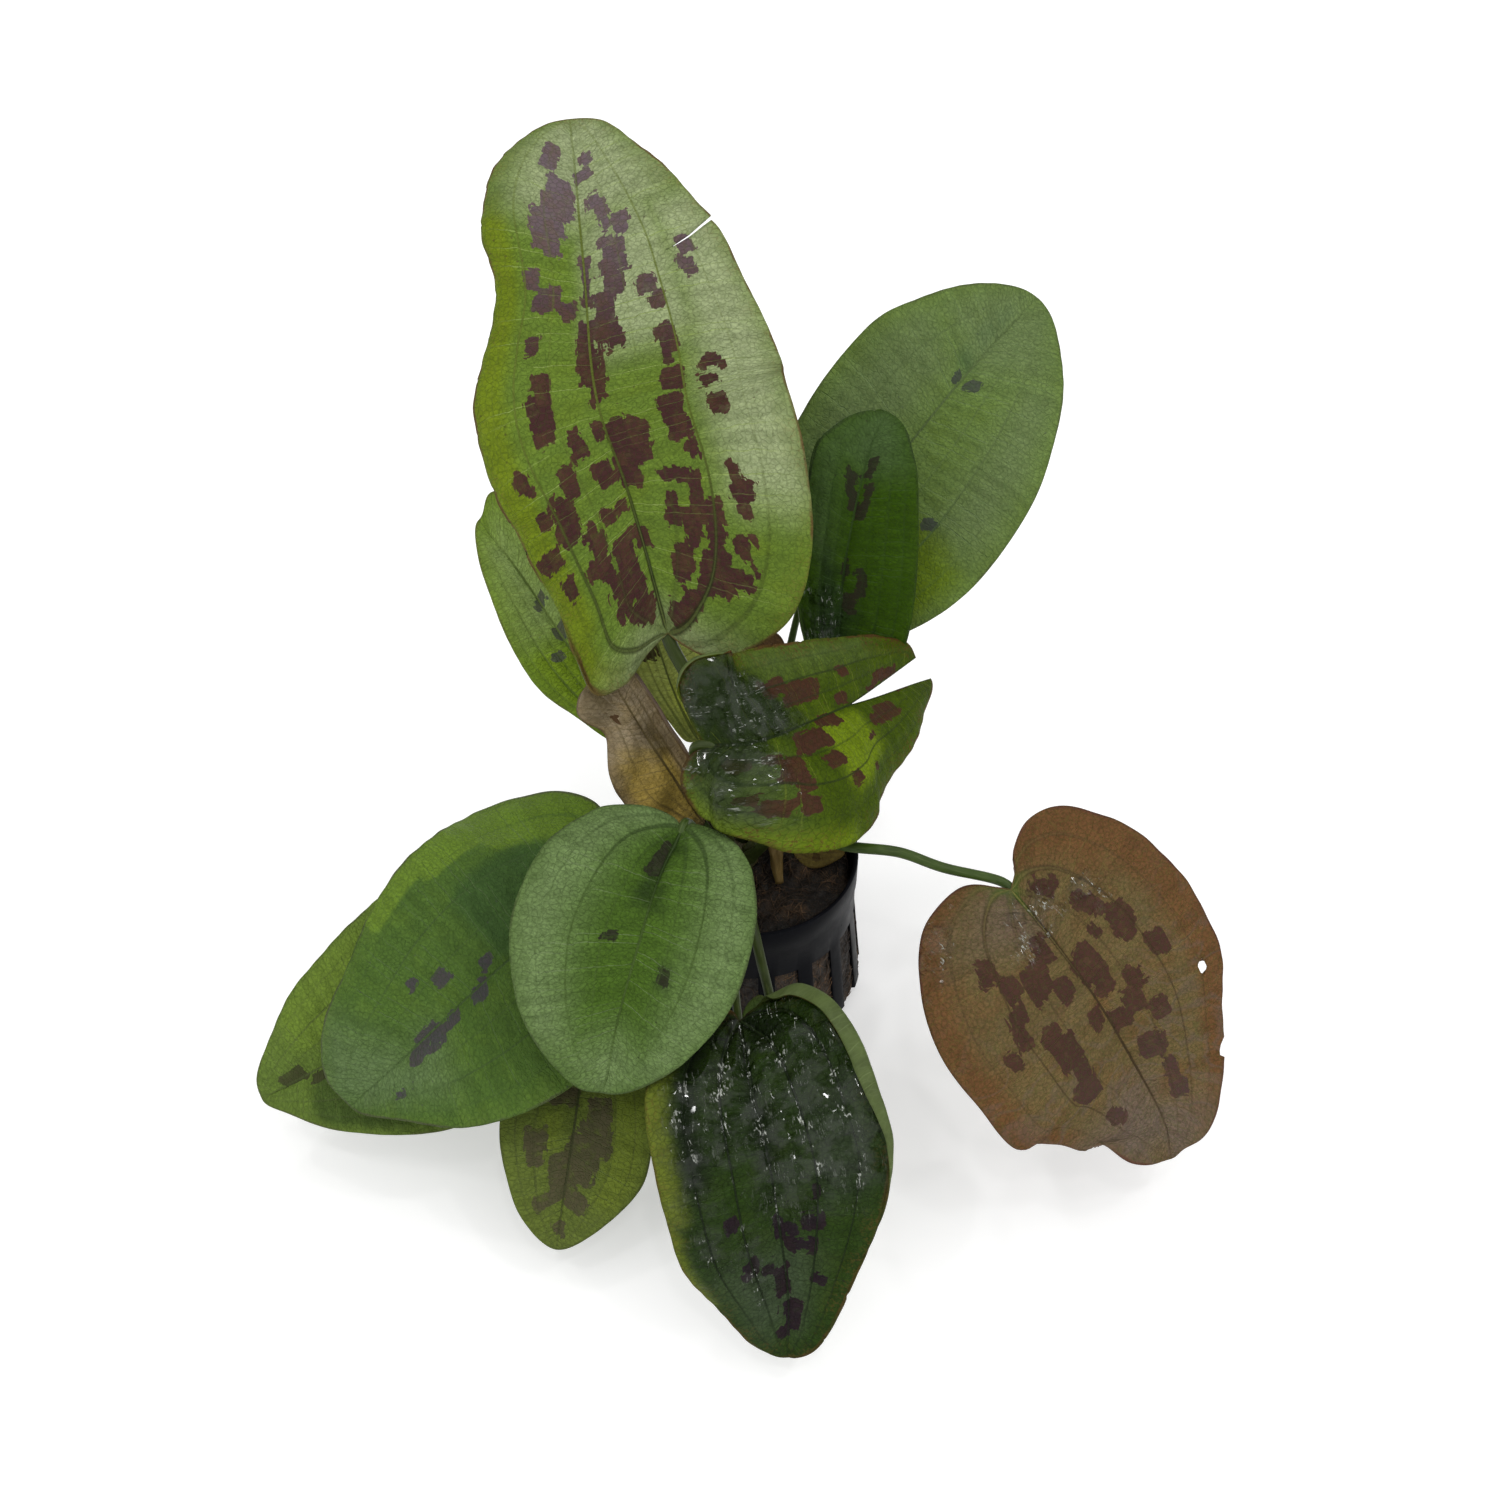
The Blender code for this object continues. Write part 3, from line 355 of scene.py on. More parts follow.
        right=[(-1, 4), (6.5, 16.5), (24, 24), (47, 22), (65, 14.5), (72.5, 7)],
        leftBend=(5, -10, 0.3), rightBend=(5, 0, 0),
        stalk=[(-11, 7.5, 44), (-16, 17, 51.5), (-24, 28, 52)], stalkRadius=(1.3, 1.0),
        green=(0.16, 0.255, 0.025), sheenTone=(0.25, 0.33, 0.12), bright=(0.18, 0.28, 0.015),
        blotch=(0.08, 0.095, 0.065), veinTone=(0.12, 0.17, 0.04), crossTone=(0.25, 0.32, 0.08),
        edgeTone=(0.1, 0.09, 0.03), dark=(0.05, 0.09, 0.02),
        spots=[(-0.02, 0.61, 0.1, 0.02), (0, 0.48, 0.1, 0.03), (-0.3, 0.42, 0.08, 0.01)],
        sheenSpots=[(-0.1, 0.7, 0.5, 0.2)], brightSpots=[(-0.4, 0.3, 0.4, 0.15)]),
    "oldBrown": dict(
        node="old_brown", slot="brown_leaf",
        midrib=[(-11.5, 4.5, 52), (-23.5, 13, 70), (-32.5, 22, 82), (-35.5, 27.5, 84)],
        face=[(0.2, -0.7, 0.7), (0.1, -0.7, 0.7)],
        left=[(2.5, 5.5), (10.5, 12.5), (16, 14.5), (25.5, 12), (33.5, 9.5), (41.5, 11.5), (46.5, 6.5)],
        right=[(3.5, 2.5), (15.5, 6), (24, 6.5), (34, 6.5), (42.5, 6)],
        leftBend=(0, -30, 0.3), rightBend=(0, 20, 0.3),
        stalk=[(-10, 1.2, 45.2)], stalkRadius=(1.3, 1.1),
        curl=dict(side=1, width=1.8, radius=0.6, first=0.3, last=0.98),
        green=(0.19, 0.14, 0.075), sheenTone=(0.32, 0.26, 0.17), bright=(0.34, 0.24, 0.05), sheenWisps=0.5,
        mottle=0.25,
        blotch=(0.08, 0.045, 0.02), veinTone=(0.1, 0.075, 0.03), crossTone=(0.17, 0.13, 0.06),
        edgeTone=(0.07, 0.035, 0.02), dark=(0.075, 0.055, 0.02), fold=1.1,
        spots=[(0.2, 0.4, 0.05, 0.02), (-0.4, 0.7, 0.06, 0.02)],
        brightSpots=[(-0.2, 0.3, 0.6, 0.25)], darkSpots=[(0.2, 0.55, 0.3, 0.12), (-0.6, 0.8, 0.3, 0.1)],
        sheenSpots=[(-0.5, 0.65, 0.3, 0.12), (0.4, 0.8, 0.3, 0.1)]),
    "youngYellow": dict(
        node="young_yellow", slot="yellow_leaf",
        midrib=[(-13, 21.5, 64), (-19.5, 30, 74), (-26, 46.5, 86)],
        face=[(0.2, -0.7, 0.65), (0.1, -0.7, 0.65)],
        left=[(2, 3), (9.5, 4.5), (19.5, 7), (30, 7)],
        right=[(0, 1.5), (7.5, 8), (22.5, 10), (34, 6)],
        stalk=[(-8.2, 8.5, 44), (-9, 13, 50)], stalkRadius=(1.1, 0.9),
        green=(0.4, 0.46, 0.11), sheenTone=(0.5, 0.54, 0.3), bright=(0.48, 0.54, 0.08),
        blotch=(0.045, 0.03, 0.012), veinTone=(0.12, 0.14, 0.04), crossTone=(0.19, 0.22, 0.07),
        edgeTone=(0.11, 0.08, 0.02), dark=(0.06, 0.08, 0.014),
        spots=[(-0.5, 0.75, 0.4, 0.13)], brightSpots=[(0.4, 0.3, 0.5, 0.15)]),
    "smallBrown": dict(
        node="small_brown", slot="brown_leaf",
        midrib=[(-2, 24.5, 68), (1.5, 31, 78), (6.5, 38, 86)],
        face=[(0.05, -0.7, 0.7), (0.05, -0.7, 0.7)],
        left=[(3, 4.5), (10.5, 10.5), (16.5, 7.5)],
        right=[(2.5, 3), (11, 6), (20, 5)],
        stalk=[(-5, 8.8, 44), (-4.5, 14, 51)], stalkRadius=(1.0, 0.8),
        green=(0.11, 0.06, 0.025), sheenTone=(0.14, 0.1, 0.05), bright=(0.12, 0.1, 0.02),
        blotch=(0.06, 0.03, 0.018), veinTone=(0.08, 0.05, 0.025), crossTone=(0.13, 0.09, 0.04),
        edgeTone=(0.05, 0.025, 0.015), dark=(0.05, 0.03, 0.015), spots=[(0.2, 0.5, 0.2, 0.1)]),
    "rustRight": dict(
        node="rust_right", slot="rust_leaf",
        midrib=[(62, -28, 65), (73, -43, 61), (84.5, -55.5, 50), (96.5, -70, 34), (99, -79.5, 28)],
        face=[(0.1, -0.45, 0.9), (0.35, -0.6, 0.8)],
        left=[(-3, 3.5), (-8, 7), (-12, 15), (-9.5, 24.5), (4, 33), (18.5, 35.5), (38.5, 34),
              (56.5, 24), (67, 15.2), (71.4, 9.2), (73.6, 4)],
        right=[(-2.5, 2.5), (-7.5, 9.5), (-4.5, 22), (5, 31), (22, 39), (41, 38.5), (52, 36.5),
               (54, 31.2), (59, 25.4), (66.8, 20.6), (73.2, 14.6), (76, 7)],
        leftBend=(5, -12, 0.3), rightBend=(5, -14, 0.3),
        hole=(-0.8, 0.62, 1.35), notch=(-1, 0.79, 1.1),
        stalk=[(0.5, 0.5, 44.8), (5.5, -2, 54), (13.5, -8.5, 62), (24, -17, 68), (35.5, -21, 70.5),
               (46, -25, 69.5)],
        stalkRadius=(1.5, 1.2),
        green=(0.112, 0.078, 0.03), sheenTone=(0.12, 0.088, 0.074), bright=(0.115, 0.052, 0.018),
        veinDark=0.16, wetDark=0.0, paintedGlint=1.0, crossStrength=0.28, cloudy=0.5,
        mottle=0.3, sheenWisps=0.35, blotchThin=0.75, outline=0.8, grow=0.4, jag=2.1, ridge=0.6, wetSoft=2.8,
        blotch=(0.05, 0.022, 0.016), blotchSheen=(0.062, 0.034, 0.03), veinTone=(0.04, 0.026, 0.012),
        crossTone=(0.19, 0.155, 0.05),
        edgeTone=(0.085, 0.035, 0.022), dark=(0.05, 0.085, 0.012),
        spots=[(-0.35, 0.16, 0.07, 0.04), (-0.38, 0.3, 0.06, 0.03), (-0.46, 0.4, 0.08, 0.03),
               (-0.45, 0.43, 0.05, 0.02), (-0.58, 0.51, 0.06, 0.02), (-0.29, 0.35, 0.03, 0.02),
               (-0.09, 0.37, 0.1, 0.05), (-0.08, 0.32, 0.05, 0.02), (-0.1, 0.43, 0.06, 0.03),
               (-0.32, 0.51, 0.06, 0.02), (-0.2, 0.54, 0.07, 0.03), (-0.07, 0.54, 0.07, 0.03),
               (-0.37, 0.61, 0.06, 0.02), (0.13, 0.25, 0.06, 0.04), (0.28, 0.35, 0.09, 0.04),
               (0.15, 0.38, 0.07, 0.03), (0.46, 0.36, 0.05, 0.02), (0.49, 0.41, 0.06, 0.02),
               (0.53, 0.46, 0.04, 0.02), (0.65, 0.5, 0.04, 0.01), (0.56, 0.31, 0.07, 0.02),
               (0.08, 0.5, 0.05, 0.02), (0.38, 0.49, 0.06, 0.02), (0.34, 0.54, 0.09, 0.04),
               (0.34, 0.6, 0.07, 0.03), (0.39, 0.65, 0.09, 0.04), (-0.19, 0.67, 0.11, 0.03),
               (-0.3, 0.75, 0.08, 0.02), (-0.37, 0.81, 0.11, 0.02), (0.44, 0.77, 0.08, 0.02)],
        brightSpots=[(-0.9, 0.5, 0.16, 0.4), (0.92, 0.5, 0.1, 0.3), (-0.75, 0.2, 0.15, 0.1)], brightSoft=4.0,
        darkSpots=[(0, 0.02, 0.6, 0.02)],
        sheenSpots=[(0.5, 0.85, 0.5, 0.1), (-0.3, 0.92, 0.5, 0.08), (0.3, 0.12, 0.15, 0.08)],
        wetSpots=[(0.89, 0.25, 0.09, 0.04), (-0.48, 0.3, 0.05, 0.02), (-0.14, 0.15, 0.12, 0.05),
                  (0.2, 0.16, 0.02, 0.08)]),
    "wetFront": dict(
        node="wet_front", slot="dark_leaf",
        midrib=[(-2.5, -60.5, 56), (0.5, -78.5, 54), (5, -95.5, 43), (8.5, -112.5, 24), (8.5, -123, 12)],
        face=[(0, -0.3, 0.95), (0, -0.6, 0.8)],
        left=[(-2, 3.5), (-4, 8), (-5, 16), (2.5, 23), (16, 27.5), (30, 29), (39.5, 28),
              (54.5, 21), (69.5, 12), (78.5, 6.5)],
        right=[(-3.5, 2), (-2.5, 9), (4, 17.5), (13.5, 23.5), (26.5, 26), (44, 25.5), (60, 22),
               (75.5, 11), (80, 4.5)],
        leftBend=(12, 10, 0.3), rightBend=(10, -25, 0.4),
        stalk=[(-6, -5.2, 44), (-6.5, -16, 53), (-5.5, -31, 57.5), (-4, -46, 57)], stalkRadius=(1.3, 1.0),
        curl=dict(side=-1, width=5.8, radius=0.9, first=0.03, last=0.74, taper=0.4), quilt=1.3, cloudy=0.06,
        veins=((-0.72, 0.8), (-0.36, 1.0), (0.34, 1.0), (0.68, 0.8)),
        green=(0.017, 0.037, 0.004), sheenTone=(0.045, 0.064, 0.034), bright=(0.115, 0.145, 0.016), ridge=0.5,
        blotch=(0.014, 0.008, 0.012), veinTone=(0.01, 0.017, 0.006), crossTone=(0.04, 0.065, 0.02),
        edgeTone=(0.08, 0.04, 0.012), dark=(0.003, 0.007, 0.001), brightEdge=0.0, wetDark=0.5, paintedGlint=0.9,
        wetSoft=5.0, edgeInStain=0.05, freckle=0.5,
        spots=[(0.44, 0.6, 0.06, 0.02), (0.01, 0.62, 0.06, 0.04), (-0.2, 0.68, 0.17, 0.02),
               (-0.32, 0.63, 0.11, 0.02), (-0.12, 0.63, 0.07, 0.02), (-0.35, 0.56, 0.04, 0.01),
               (0.37, 0.72, 0.08, 0.02), (0.18, 0.73, 0.06, 0.01), (0.05, 0.77, 0.09, 0.04),
               (-0.47, 0.78, 0.11, 0.01), (-0.06, 0.87, 0.18, 0.04), (0.06, 0.92, 0.16, 0.02)],
        brightSpots=[(0.94, 0.3, 0.13, 0.28), (1.0, 0.6, 0.08, 0.22)],
        darkSpots=[(-0.4, 0.1, 0.2, 0.06), (-0.05, 0.31, 0.06, 0.02), (-0.05, 0.38, 0.06, 0.01),
                   (0.65, 0.3, 0.1, 0.2), (0.02, 0.25, 0.06, 0.2)],
        sheenSpots=[(0.2, 0.8, 0.6, 0.12), (-0.6, 0.5, 0.15, 0.08)],
        wetSpots=[(-0.55, 0.3, 0.38, 0.28), (0.2, 0.23, 0.4, 0.2), (-0.1, 0.42, 0.25, 0.16),
                  (0.68, 0.5, 0.12, 0.22),
                  (0.3, 0.72, 0.08, 0.08)]),
    "frontLeft": dict(
        node="front_left", slot="green_leaf",
        midrib=[(-38.5, -44, 37), (-41, -66, 31.5), (-44, -85, 20), (-45.5, -95.5, 14)],
        face=[(0, -0.4, 0.9), (0, -0.6, 0.8)],
        left=[(-2.5, 3), (4.5, 10), (21.5, 17.5), (35.5, 19), (44, 16), (53.5, 7.5)],
        right=[(-1.5, 3), (7, 10), (20, 16.5), (31, 17.5), (42.5, 14), (51.5, 9)],
        leftBend=(6, -10, 0.3), rightBend=(6, -10, 0.3),
        stalk=[(-9.8, -4.2, 43.2), (-17.5, -18, 51), (-28, -32, 45.5)], stalkRadius=(1.2, 1.0),
        green=(0.105, 0.14, 0.025), sheenTone=(0.14, 0.17, 0.06), bright=(0.14, 0.185, 0.022), grow=0.3,
        blotchThin=0.45,
        blotch=(0.078, 0.07, 0.034), veinTone=(0.05, 0.055, 0.022), crossTone=(0.11, 0.14, 0.045),
        edgeTone=(0.05, 0.06, 0.02), dark=(0.05, 0.07, 0.02),
        spots=[(0.5, 0.6, 0.13, 0.08), (0.07, 0.7, 0.2, 0.09), (-0.3, 0.49, 0.17, 0.1),
               (-0.16, 0.62, 0.2, 0.09), (0.3, 0.79, 0.3, 0.03), (-0.22, 0.79, 0.2, 0.04),
               (0.16, 0.38, 0.2, 0.04), (0.05, 0.91, 0.2, 0.03)],
        brightSpots=[(-0.7, 0.6, 0.2, 0.2), (0.3, 0.53, 0.12, 0.07)]),
    "frontOval": dict(
        node="front_oval", slot="green_leaf",
        midrib=[(-16, -22, 80), (-22, -40.5, 79.5), (-29.5, -65.5, 67), (-33.5, -79.5, 54)],
        face=[(-0.05, -0.4, 0.9), (-0.05, -0.55, 0.8)],
        left=[(-2.5, 2.5), (-1.5, 11), (7.5, 20), (21.5, 25), (40.5, 25), (56, 18), (65.5, 8)],
        right=[(-2.5, 3.5), (-2.5, 11.5), (2, 21), (16.5, 28), (32.5, 30.5), (49, 25.5), (61.5, 16),
               (68, 6.5)],
        leftBend=(7, -14, 0.3), rightBend=(5, -14, 0.3),
        stalk=[(-7.6, -2.6, 45), (-9.5, -7, 55), (-12.5, -12.5, 67)], stalkRadius=(1.5, 1.2),
        green=(0.05, 0.1, 0.01), sheenTone=(0.155, 0.22, 0.09), bright=(0.055, 0.108, 0.012), ridge=0.1,
        cloudy=0.1,
        blotch=(0.016, 0.016, 0.008), veinTone=(0.05, 0.085, 0.018), crossTone=(0.2, 0.26, 0.13),
        edgeTone=(0.04, 0.05, 0.02), dark=(0.014, 0.03, 0.004), sheenSoft=10.0, mottle=0.28,
        crossStrength=0.35, blotchThin=0.5,
        spots=[(0.09, 0.18, 0.09, 0.08), (0.24, 0.5, 0.07, 0.01), (-0.3, 0.58, 0.04, 0.02)],
        brightSpots=[(-0.25, 0.3, 0.15, 0.15)], darkSpots=[(0, 0.1, 0.2, 0.04), (0.06, 0.17, 0.12, 0.06),
                   (0.06, 0.28, 0.1, 0.08), (-0.07, 0.32, 0.06, 0.05), (-0.3, 0.58, 0.05, 0.03)],
                   brightSoft=6.0,
        sheenSpots=[(0.78, 0.5, 0.25, 0.4), (-0.78, 0.55, 0.25, 0.4), (0, 0.92, 0.8, 0.12)]),
    "leftMiddle": dict(
        node="left_middle", slot="green_leaf",
        midrib=[(-36, -12.5, 55), (-45.5, -29, 57), (-61.5, -45.5, 54), (-83, -65, 45), (-93.5, -72.5, 39)],
        face=[(-0.2, -0.35, 0.9), (-0.3, -0.5, 0.85)],
        left=[(2, 5.5), (11.5, 17), (22.5, 29), (39, 35), (56, 32.5), (70, 24), (79.5, 12)],
        right=[(-6, 2.5), (-17, 10.5), (-18.5, 20.5), (-12, 29.5), (-1, 36), (11, 38.8), (23, 39.2),
               (36, 37.8), (48, 34.8), (60, 29.5), (78.5, 20.5), (87, 10.5)], turnBlur=24,
        leftBend=(5, -10, 0.3), rightBend=(8, -22, 0.4),
        stalk=[(-12.8, 0.2, 43.8), (-19, -3, 50.5), (-26, -6.5, 53)], stalkRadius=(1.4, 1.1),
        green=(0.058, 0.11, 0.018), sheenTone=(0.1, 0.15, 0.062), bright=(0.115, 0.19, 0.02), wave=0.25, grow=0.0,
        blotch=(0.052, 0.05, 0.05), veinTone=(0.05, 0.085, 0.025), crossTone=(0.1, 0.15, 0.06),
        edgeTone=(0.06, 0.045, 0.04), dark=(0.035, 0.075, 0.018), brightSoft=0.7,
        spots=[(0.09, 0.49, 0.04, 0.02), (-0.04, 0.54, 0.07, 0.03), (-0.07, 0.76, 0.1, 0.03),
               (-0.06, 0.7, 0.1, 0.03), (-0.04, 0.64, 0.07, 0.02), (0.22, 0.61, 0.05, 0.02),
               (0.36, 0.68, 0.03, 0.01), (-0.46, 0.86, 0.08, 0.02)],
        # the bright band along the right margin is painted light, and the darker patch in darkSpots is a
        # painted shadow cast by frontOval
        brightSpots=[(0.9, 0.42, 0.17, 0.14), (0.8, 0.3, 0.2, 0.08), (0.85, 0.15, 0.3, 0.12),
                     (0.97, 0.6, 0.15, 0.1)],
        sheenSpots=[(0.2, 0.9, 0.8, 0.1), (-0.3, 0.8, 0.3, 0.1)], darkSpots=[(0.3, 0.35, 0.3, 0.14)]),
    "leftLow": dict(
        node="left_low", slot="green_leaf",
        midrib=[(-56.5, -27, 38), (-77.5, -42.5, 37), (-101.5, -53, 30), (-118, -58.5, 23)],
        face=[(-0.2, -0.35, 0.9), (-0.3, -0.5, 0.85)],
        left=[(0.5, 4.5), (8, 19.5), (23.5, 29.5), (36.5, 28.5), (55.5, 18), (67, 7)],
        right=[(-4, 5), (-5.5, 17.5), (3.5, 30), (22, 32.5), (41.5, 27), (57.5, 18.5), (70, 7)],
        leftBend=(5, -10, 0.3), rightBend=(5, -10, 0.3),
        stalk=[(-12.3, -3.4, 43), (-25, -11.5, 50), (-41, -19.5, 42.5)], stalkRadius=(1.3, 1.0),
        green=(0.1, 0.155, 0.026), sheenTone=(0.14, 0.2, 0.055), bright=(0.13, 0.2, 0.025),
        blotch=(0.04, 0.045, 0.015), veinTone=(0.07, 0.09, 0.03), crossTone=(0.14, 0.18, 0.05),
        edgeTone=(0.07, 0.075, 0.03), dark=(0.05, 0.085, 0.016),
        spots=[(0.09, 0.87, 0.12, 0.04), (-0.1, 0.78, 0.1, 0.02)],
        brightSpots=[(0.6, 0.6, 0.35, 0.25)], darkSpots=[(-0.5, 0.6, 0.4, 0.25)]),
    "frontLow": dict(
        node="front_low", slot="dark_leaf",
        midrib=[(5, -39, 36), (8.5, -58, 30), (12, -78, 17), (13, -91.5, 8)],
        face=[(0.05, -0.3, 0.95), (0.1, -0.6, 0.8)],
        left=[(-0.5, 3), (9, 10.5), (27, 13.5), (45.5, 9.5), (55, 4.5)],
        right=[(-2, 3), (3.5, 8), (21, 12.5), (43, 11), (57, 4.5)],
        stalk=[(-2.2, -4.5, 43.6), (-1, -14, 49.5), (0, -24, 51.5), (2.5, -33, 45)], stalkRadius=(1.4, 1.2),
        green=(0.05, 0.085, 0.015), sheenTone=(0.08, 0.11, 0.04), bright=(0.07, 0.11, 0.015),
        blotch=(0.03, 0.024, 0.016), veinTone=(0.04, 0.06, 0.02), crossTone=(0.08, 0.11, 0.04),
        edgeTone=(0.05, 0.05, 0.02), dark=(0.03, 0.05, 0.012),
        spots=[(0.1, 0.3, 0.1, 0.06), (-0.1, 0.5, 0.1, 0.05), (0.05, 0.68, 0.08, 0.05)]),
}
bladeDefaults = dict(
    cell=0.68,            # size of a mesh facet
    thickness=0.5,
    veins=((-0.78, 0.25), (-0.52, 0.5), (-0.27, 0.3), (0.27, 0.3), (0.52, 0.5), (0.78, 0.25)),
    groove=0.35, quilt=0.45, pucker=0.11, puckerPitch=4.2, wave=0.6,
    slant=0.4,            # cross veins lean towards the tip by this much
    midribReach=0.9,      # how far the stalk runs on under the blade
    fold=0.0, brightSoft=2.5, brightEdge=0.15, jag=2.0, dryRoughness=0.5, grow=0.1, crossStrength=0.55,
    crossPitch=1.7, sheenAmount=0.75, mottle=0.22, sheenWisps=0.0, blotchThin=0.85, wetDark=0.45, paintedGlint=0.5,
    cloudy=0.25, sheenSoft=7.0, veinDark=0.55, wetSoft=2.6, ridge=0.3, turnBlur=0,
    edgeInStain=0.3, freckle=0.2, outline=0.55)


def smoothCurve(points, samples=240, beyond=None):
    # uniform Catmull-Rom through the points, and on towards the point beyond the last
    points = np.array(points, float)
    following = 2 * points[-1] - points[-2] if beyond is None else np.array(beyond, float)
    padded = np.vstack([2 * points[0] - points[1], points, following])
    place = np.linspace(0, len(points) - 1, samples + 1)
    index = np.minimum(place.astype(int), len(points) - 2)
    part = (place - index)[:, None]
    before, here, after, last = (padded[index + step] for step in range(4))
    return 0.5 * (here * 2 + (after - before) * part
                  + (before * 2 - here * 5 + after * 4 - last) * part ** 2
                  + (here * 3 - before - after * 3 + last) * part ** 3)


def evenCurve(points, count, samples=240, beyond=None):
    fine = smoothCurve(points, samples, beyond)
    reach = np.concatenate([[0], np.cumsum(np.linalg.norm(np.diff(fine, axis=0), axis=1))])
    wanted = np.linspace(0, reach[-1], count)
    return np.stack([np.interp(wanted, reach, column) for column in fine.T], 1), reach[-1]


def unit(vectors):
    return vectors / np.linalg.norm(vectors, axis=-1, keepdims=True)


lineSteps = 120
narrowest = 2.0      # mm, least half width that a spot is measured against
shortest = 0.012     # least half length of a spot, as a share of the leaf
spotFloor = -12.0    # mm, depth given to places far from every spot


def makeShape(leaf):
    # where each place (u, v) of a leaf lies, flat and in space
    values = {**bladeDefaults, "blotchSheen": leaf["blotch"], "jointTone": leaf["dark"], **leaf}
    line, length = evenCurve(values["midrib"], lineSteps + 1)
    heading = np.gradient(line, axis=0)
    blur = values["turnBlur"]
    if blur:
        # a broad blade that turns keeps its margin even when its heading changes slowly
        padded = np.pad(heading, ((blur, blur), (0, 0)), mode="edge")
        window = np.ones(2 * blur + 1) / (2 * blur + 1)
        heading = np.stack([np.convolve(column, window, mode="valid") for column in padded.T], 1)
    margins = {}
    for side, key in ((-1, "left"), (1, "right")):
        outline = [(0, 0)] + list(values[key]) + [(length, 0)]
        lastAlong, lastAcross = values[key][-1]
        margins[side] = evenCurve(outline, lineSteps * 2 + 1, 480, (lastAlong, -lastAcross))[0]
    return dict(values=values, line=line, length=length, heading=unit(heading), margins=margins)


def marginPlace(shape, side, v):
    place = np.clip(v, 0, 1) * (lineSteps * 2)
    rows = np.arange(lineSteps * 2 + 1)
    left, right = shape["margins"][-1], shape["margins"][1]
    along, across = (np.where(side < 0, np.interp(place, rows, left[:, axis]),
                              np.interp(place, rows, right[:, axis])) for axis in (0, 1))
    return along, np.maximum(across, 0.0)


def midribFrame(shape, along):
    length = shape["length"]
    place = np.clip(along / length, 0, 1) * lineSteps
    rows = np.arange(lineSteps + 1)
    point = np.stack([np.interp(place, rows, shape["line"][:, axis]) for axis in range(3)], 1)
    forward = unit(np.stack([np.interp(place, rows, shape["heading"][:, axis]) for axis in range(3)], 1))
    point = point + forward * (along - np.clip(along, 0, length))[:, None]
    share = (place / lineSteps)[:, None]
    first, last = (np.array(face, float) for face in shape["values"]["face"])
    facing = first * (1 - share) + last * share
    up = unit(facing - forward * np.sum(facing * forward, 1, keepdims=True))
    return point, forward, np.cross(forward, up), up, share[:, 0]


def crossSection(shape, side, width):
    # how far out and how high a place lies for each mm of flat width
    reach, rise = np.zeros_like(width), np.zeros_like(width)
    left = shape["values"].get("leftBend", (0, 0, 0))
    right = shape["values"].get("rightBend", (0, 0, 0))
    fold, bend, start = (np.where(side < 0, left[k], right[k]) for k in range(3))
    parts = 14
    for part in range(parts):
        place = (part + 0.5) / parts * width
        angle = fold * np.minimum(1.0, place / 0.08) + bend * np.maximum(0.0, (place - start) / (1 - start))
        reach += np.cos(np.radians(angle)) / parts
        rise += np.sin(np.radians(angle)) / parts
    return reach, rise


def flatPlace(shape, u, v, side):
    length = shape["length"]
    edgeAlong, edgeAcross = marginPlace(shape, side, v)
    width = np.minimum(np.abs(u), 1.0)
    along = v * length + (edgeAlong - v * length) * width
    return along, edgeAcross * width, edgeAcross


def bladePlace(shape, u, v, side):
    along, across, _ = flatPlace(shape, u, v, side)
    point, _, sideways, up, share = midribFrame(shape, along)
    reach, rise = crossSection(shape, side, np.minimum(np.abs(u), 1.0))
    gap = 0.0
    if "split" in shape["values"]:
        start, opening = shape["values"]["split"]
        gap = opening * np.maximum(0.0, (share - start) / (1 - start))
    moved = side * (across * reach + gap)
    return point + sideways * moved[:, None] + up * (across * rise)[:, None]


def crossPlace(shape, across, u, v):
    # runs along the leaf in mm, and is even along each slanted cross vein
    return v * shape["length"] - shape["values"]["slant"] * across * (1 - 0.4 * np.minimum(np.abs(u), 1))


def depthInside(spots, shape, u, cross):
    # how deep a place lies in the nearest spot, in mm
    depth = np.full(len(u), spotFloor)
    for spotU, spotV, halfU, halfV in spots:
        where = np.array([spotU]), np.array([spotV])
        across, edge = flatPlace(shape, *where, np.sign(where[0]))[1:]
        middle = crossPlace(shape, across, *where)[0]
        wide = max(edge[0], narrowest)
        halfWidth, halfLength = halfU * wide, max(halfV, shortest) * shape["length"]
        corner = 0.4 * min(halfWidth, halfLength)
        overSide = np.abs(u - spotU) * wide - halfWidth + corner
        overEnd = np.abs(cross - middle) - halfLength + corner
        past = np.hypot(np.maximum(overSide, 0), np.maximum(overEnd, 0))
        away = past + np.minimum(np.maximum(overSide, overEnd), 0) - corner
        depth = np.maximum(depth, shape["values"]["grow"] - away)
    return depth


def bump(value, low, high):
    part = np.clip((value - low) / (high - low), 0, 1)
    return part * part * (3 - 2 * part)


def freshSheet(name, columns, rows):
    bpy.ops.object.select_all(action="DESELECT")
    bpy.ops.mesh.primitive_grid_add(x_subdivisions=columns, y_subdivisions=rows, size=2)
    sheet = bpy.context.object
    sheet.name = name
    sheet.data.name = name
    while sheet.data.uv_layers:
        sheet.data.uv_layers.remove(sheet.data.uv_layers[0])
    return sheet


def readPlaces(mesh):
    places = np.empty(len(mesh.vertices) * 3)
    mesh.vertices.foreach_get("co", places)
    return places.reshape(-1, 3)


def writePlaces(mesh, places):
    mesh.vertices.foreach_set("co", (places * mm).ravel())


def cornerVertices(mesh):
    corner = np.empty(len(mesh.loops), int)
    mesh.loops.foreach_get("vertex_index", corner)
    return corner


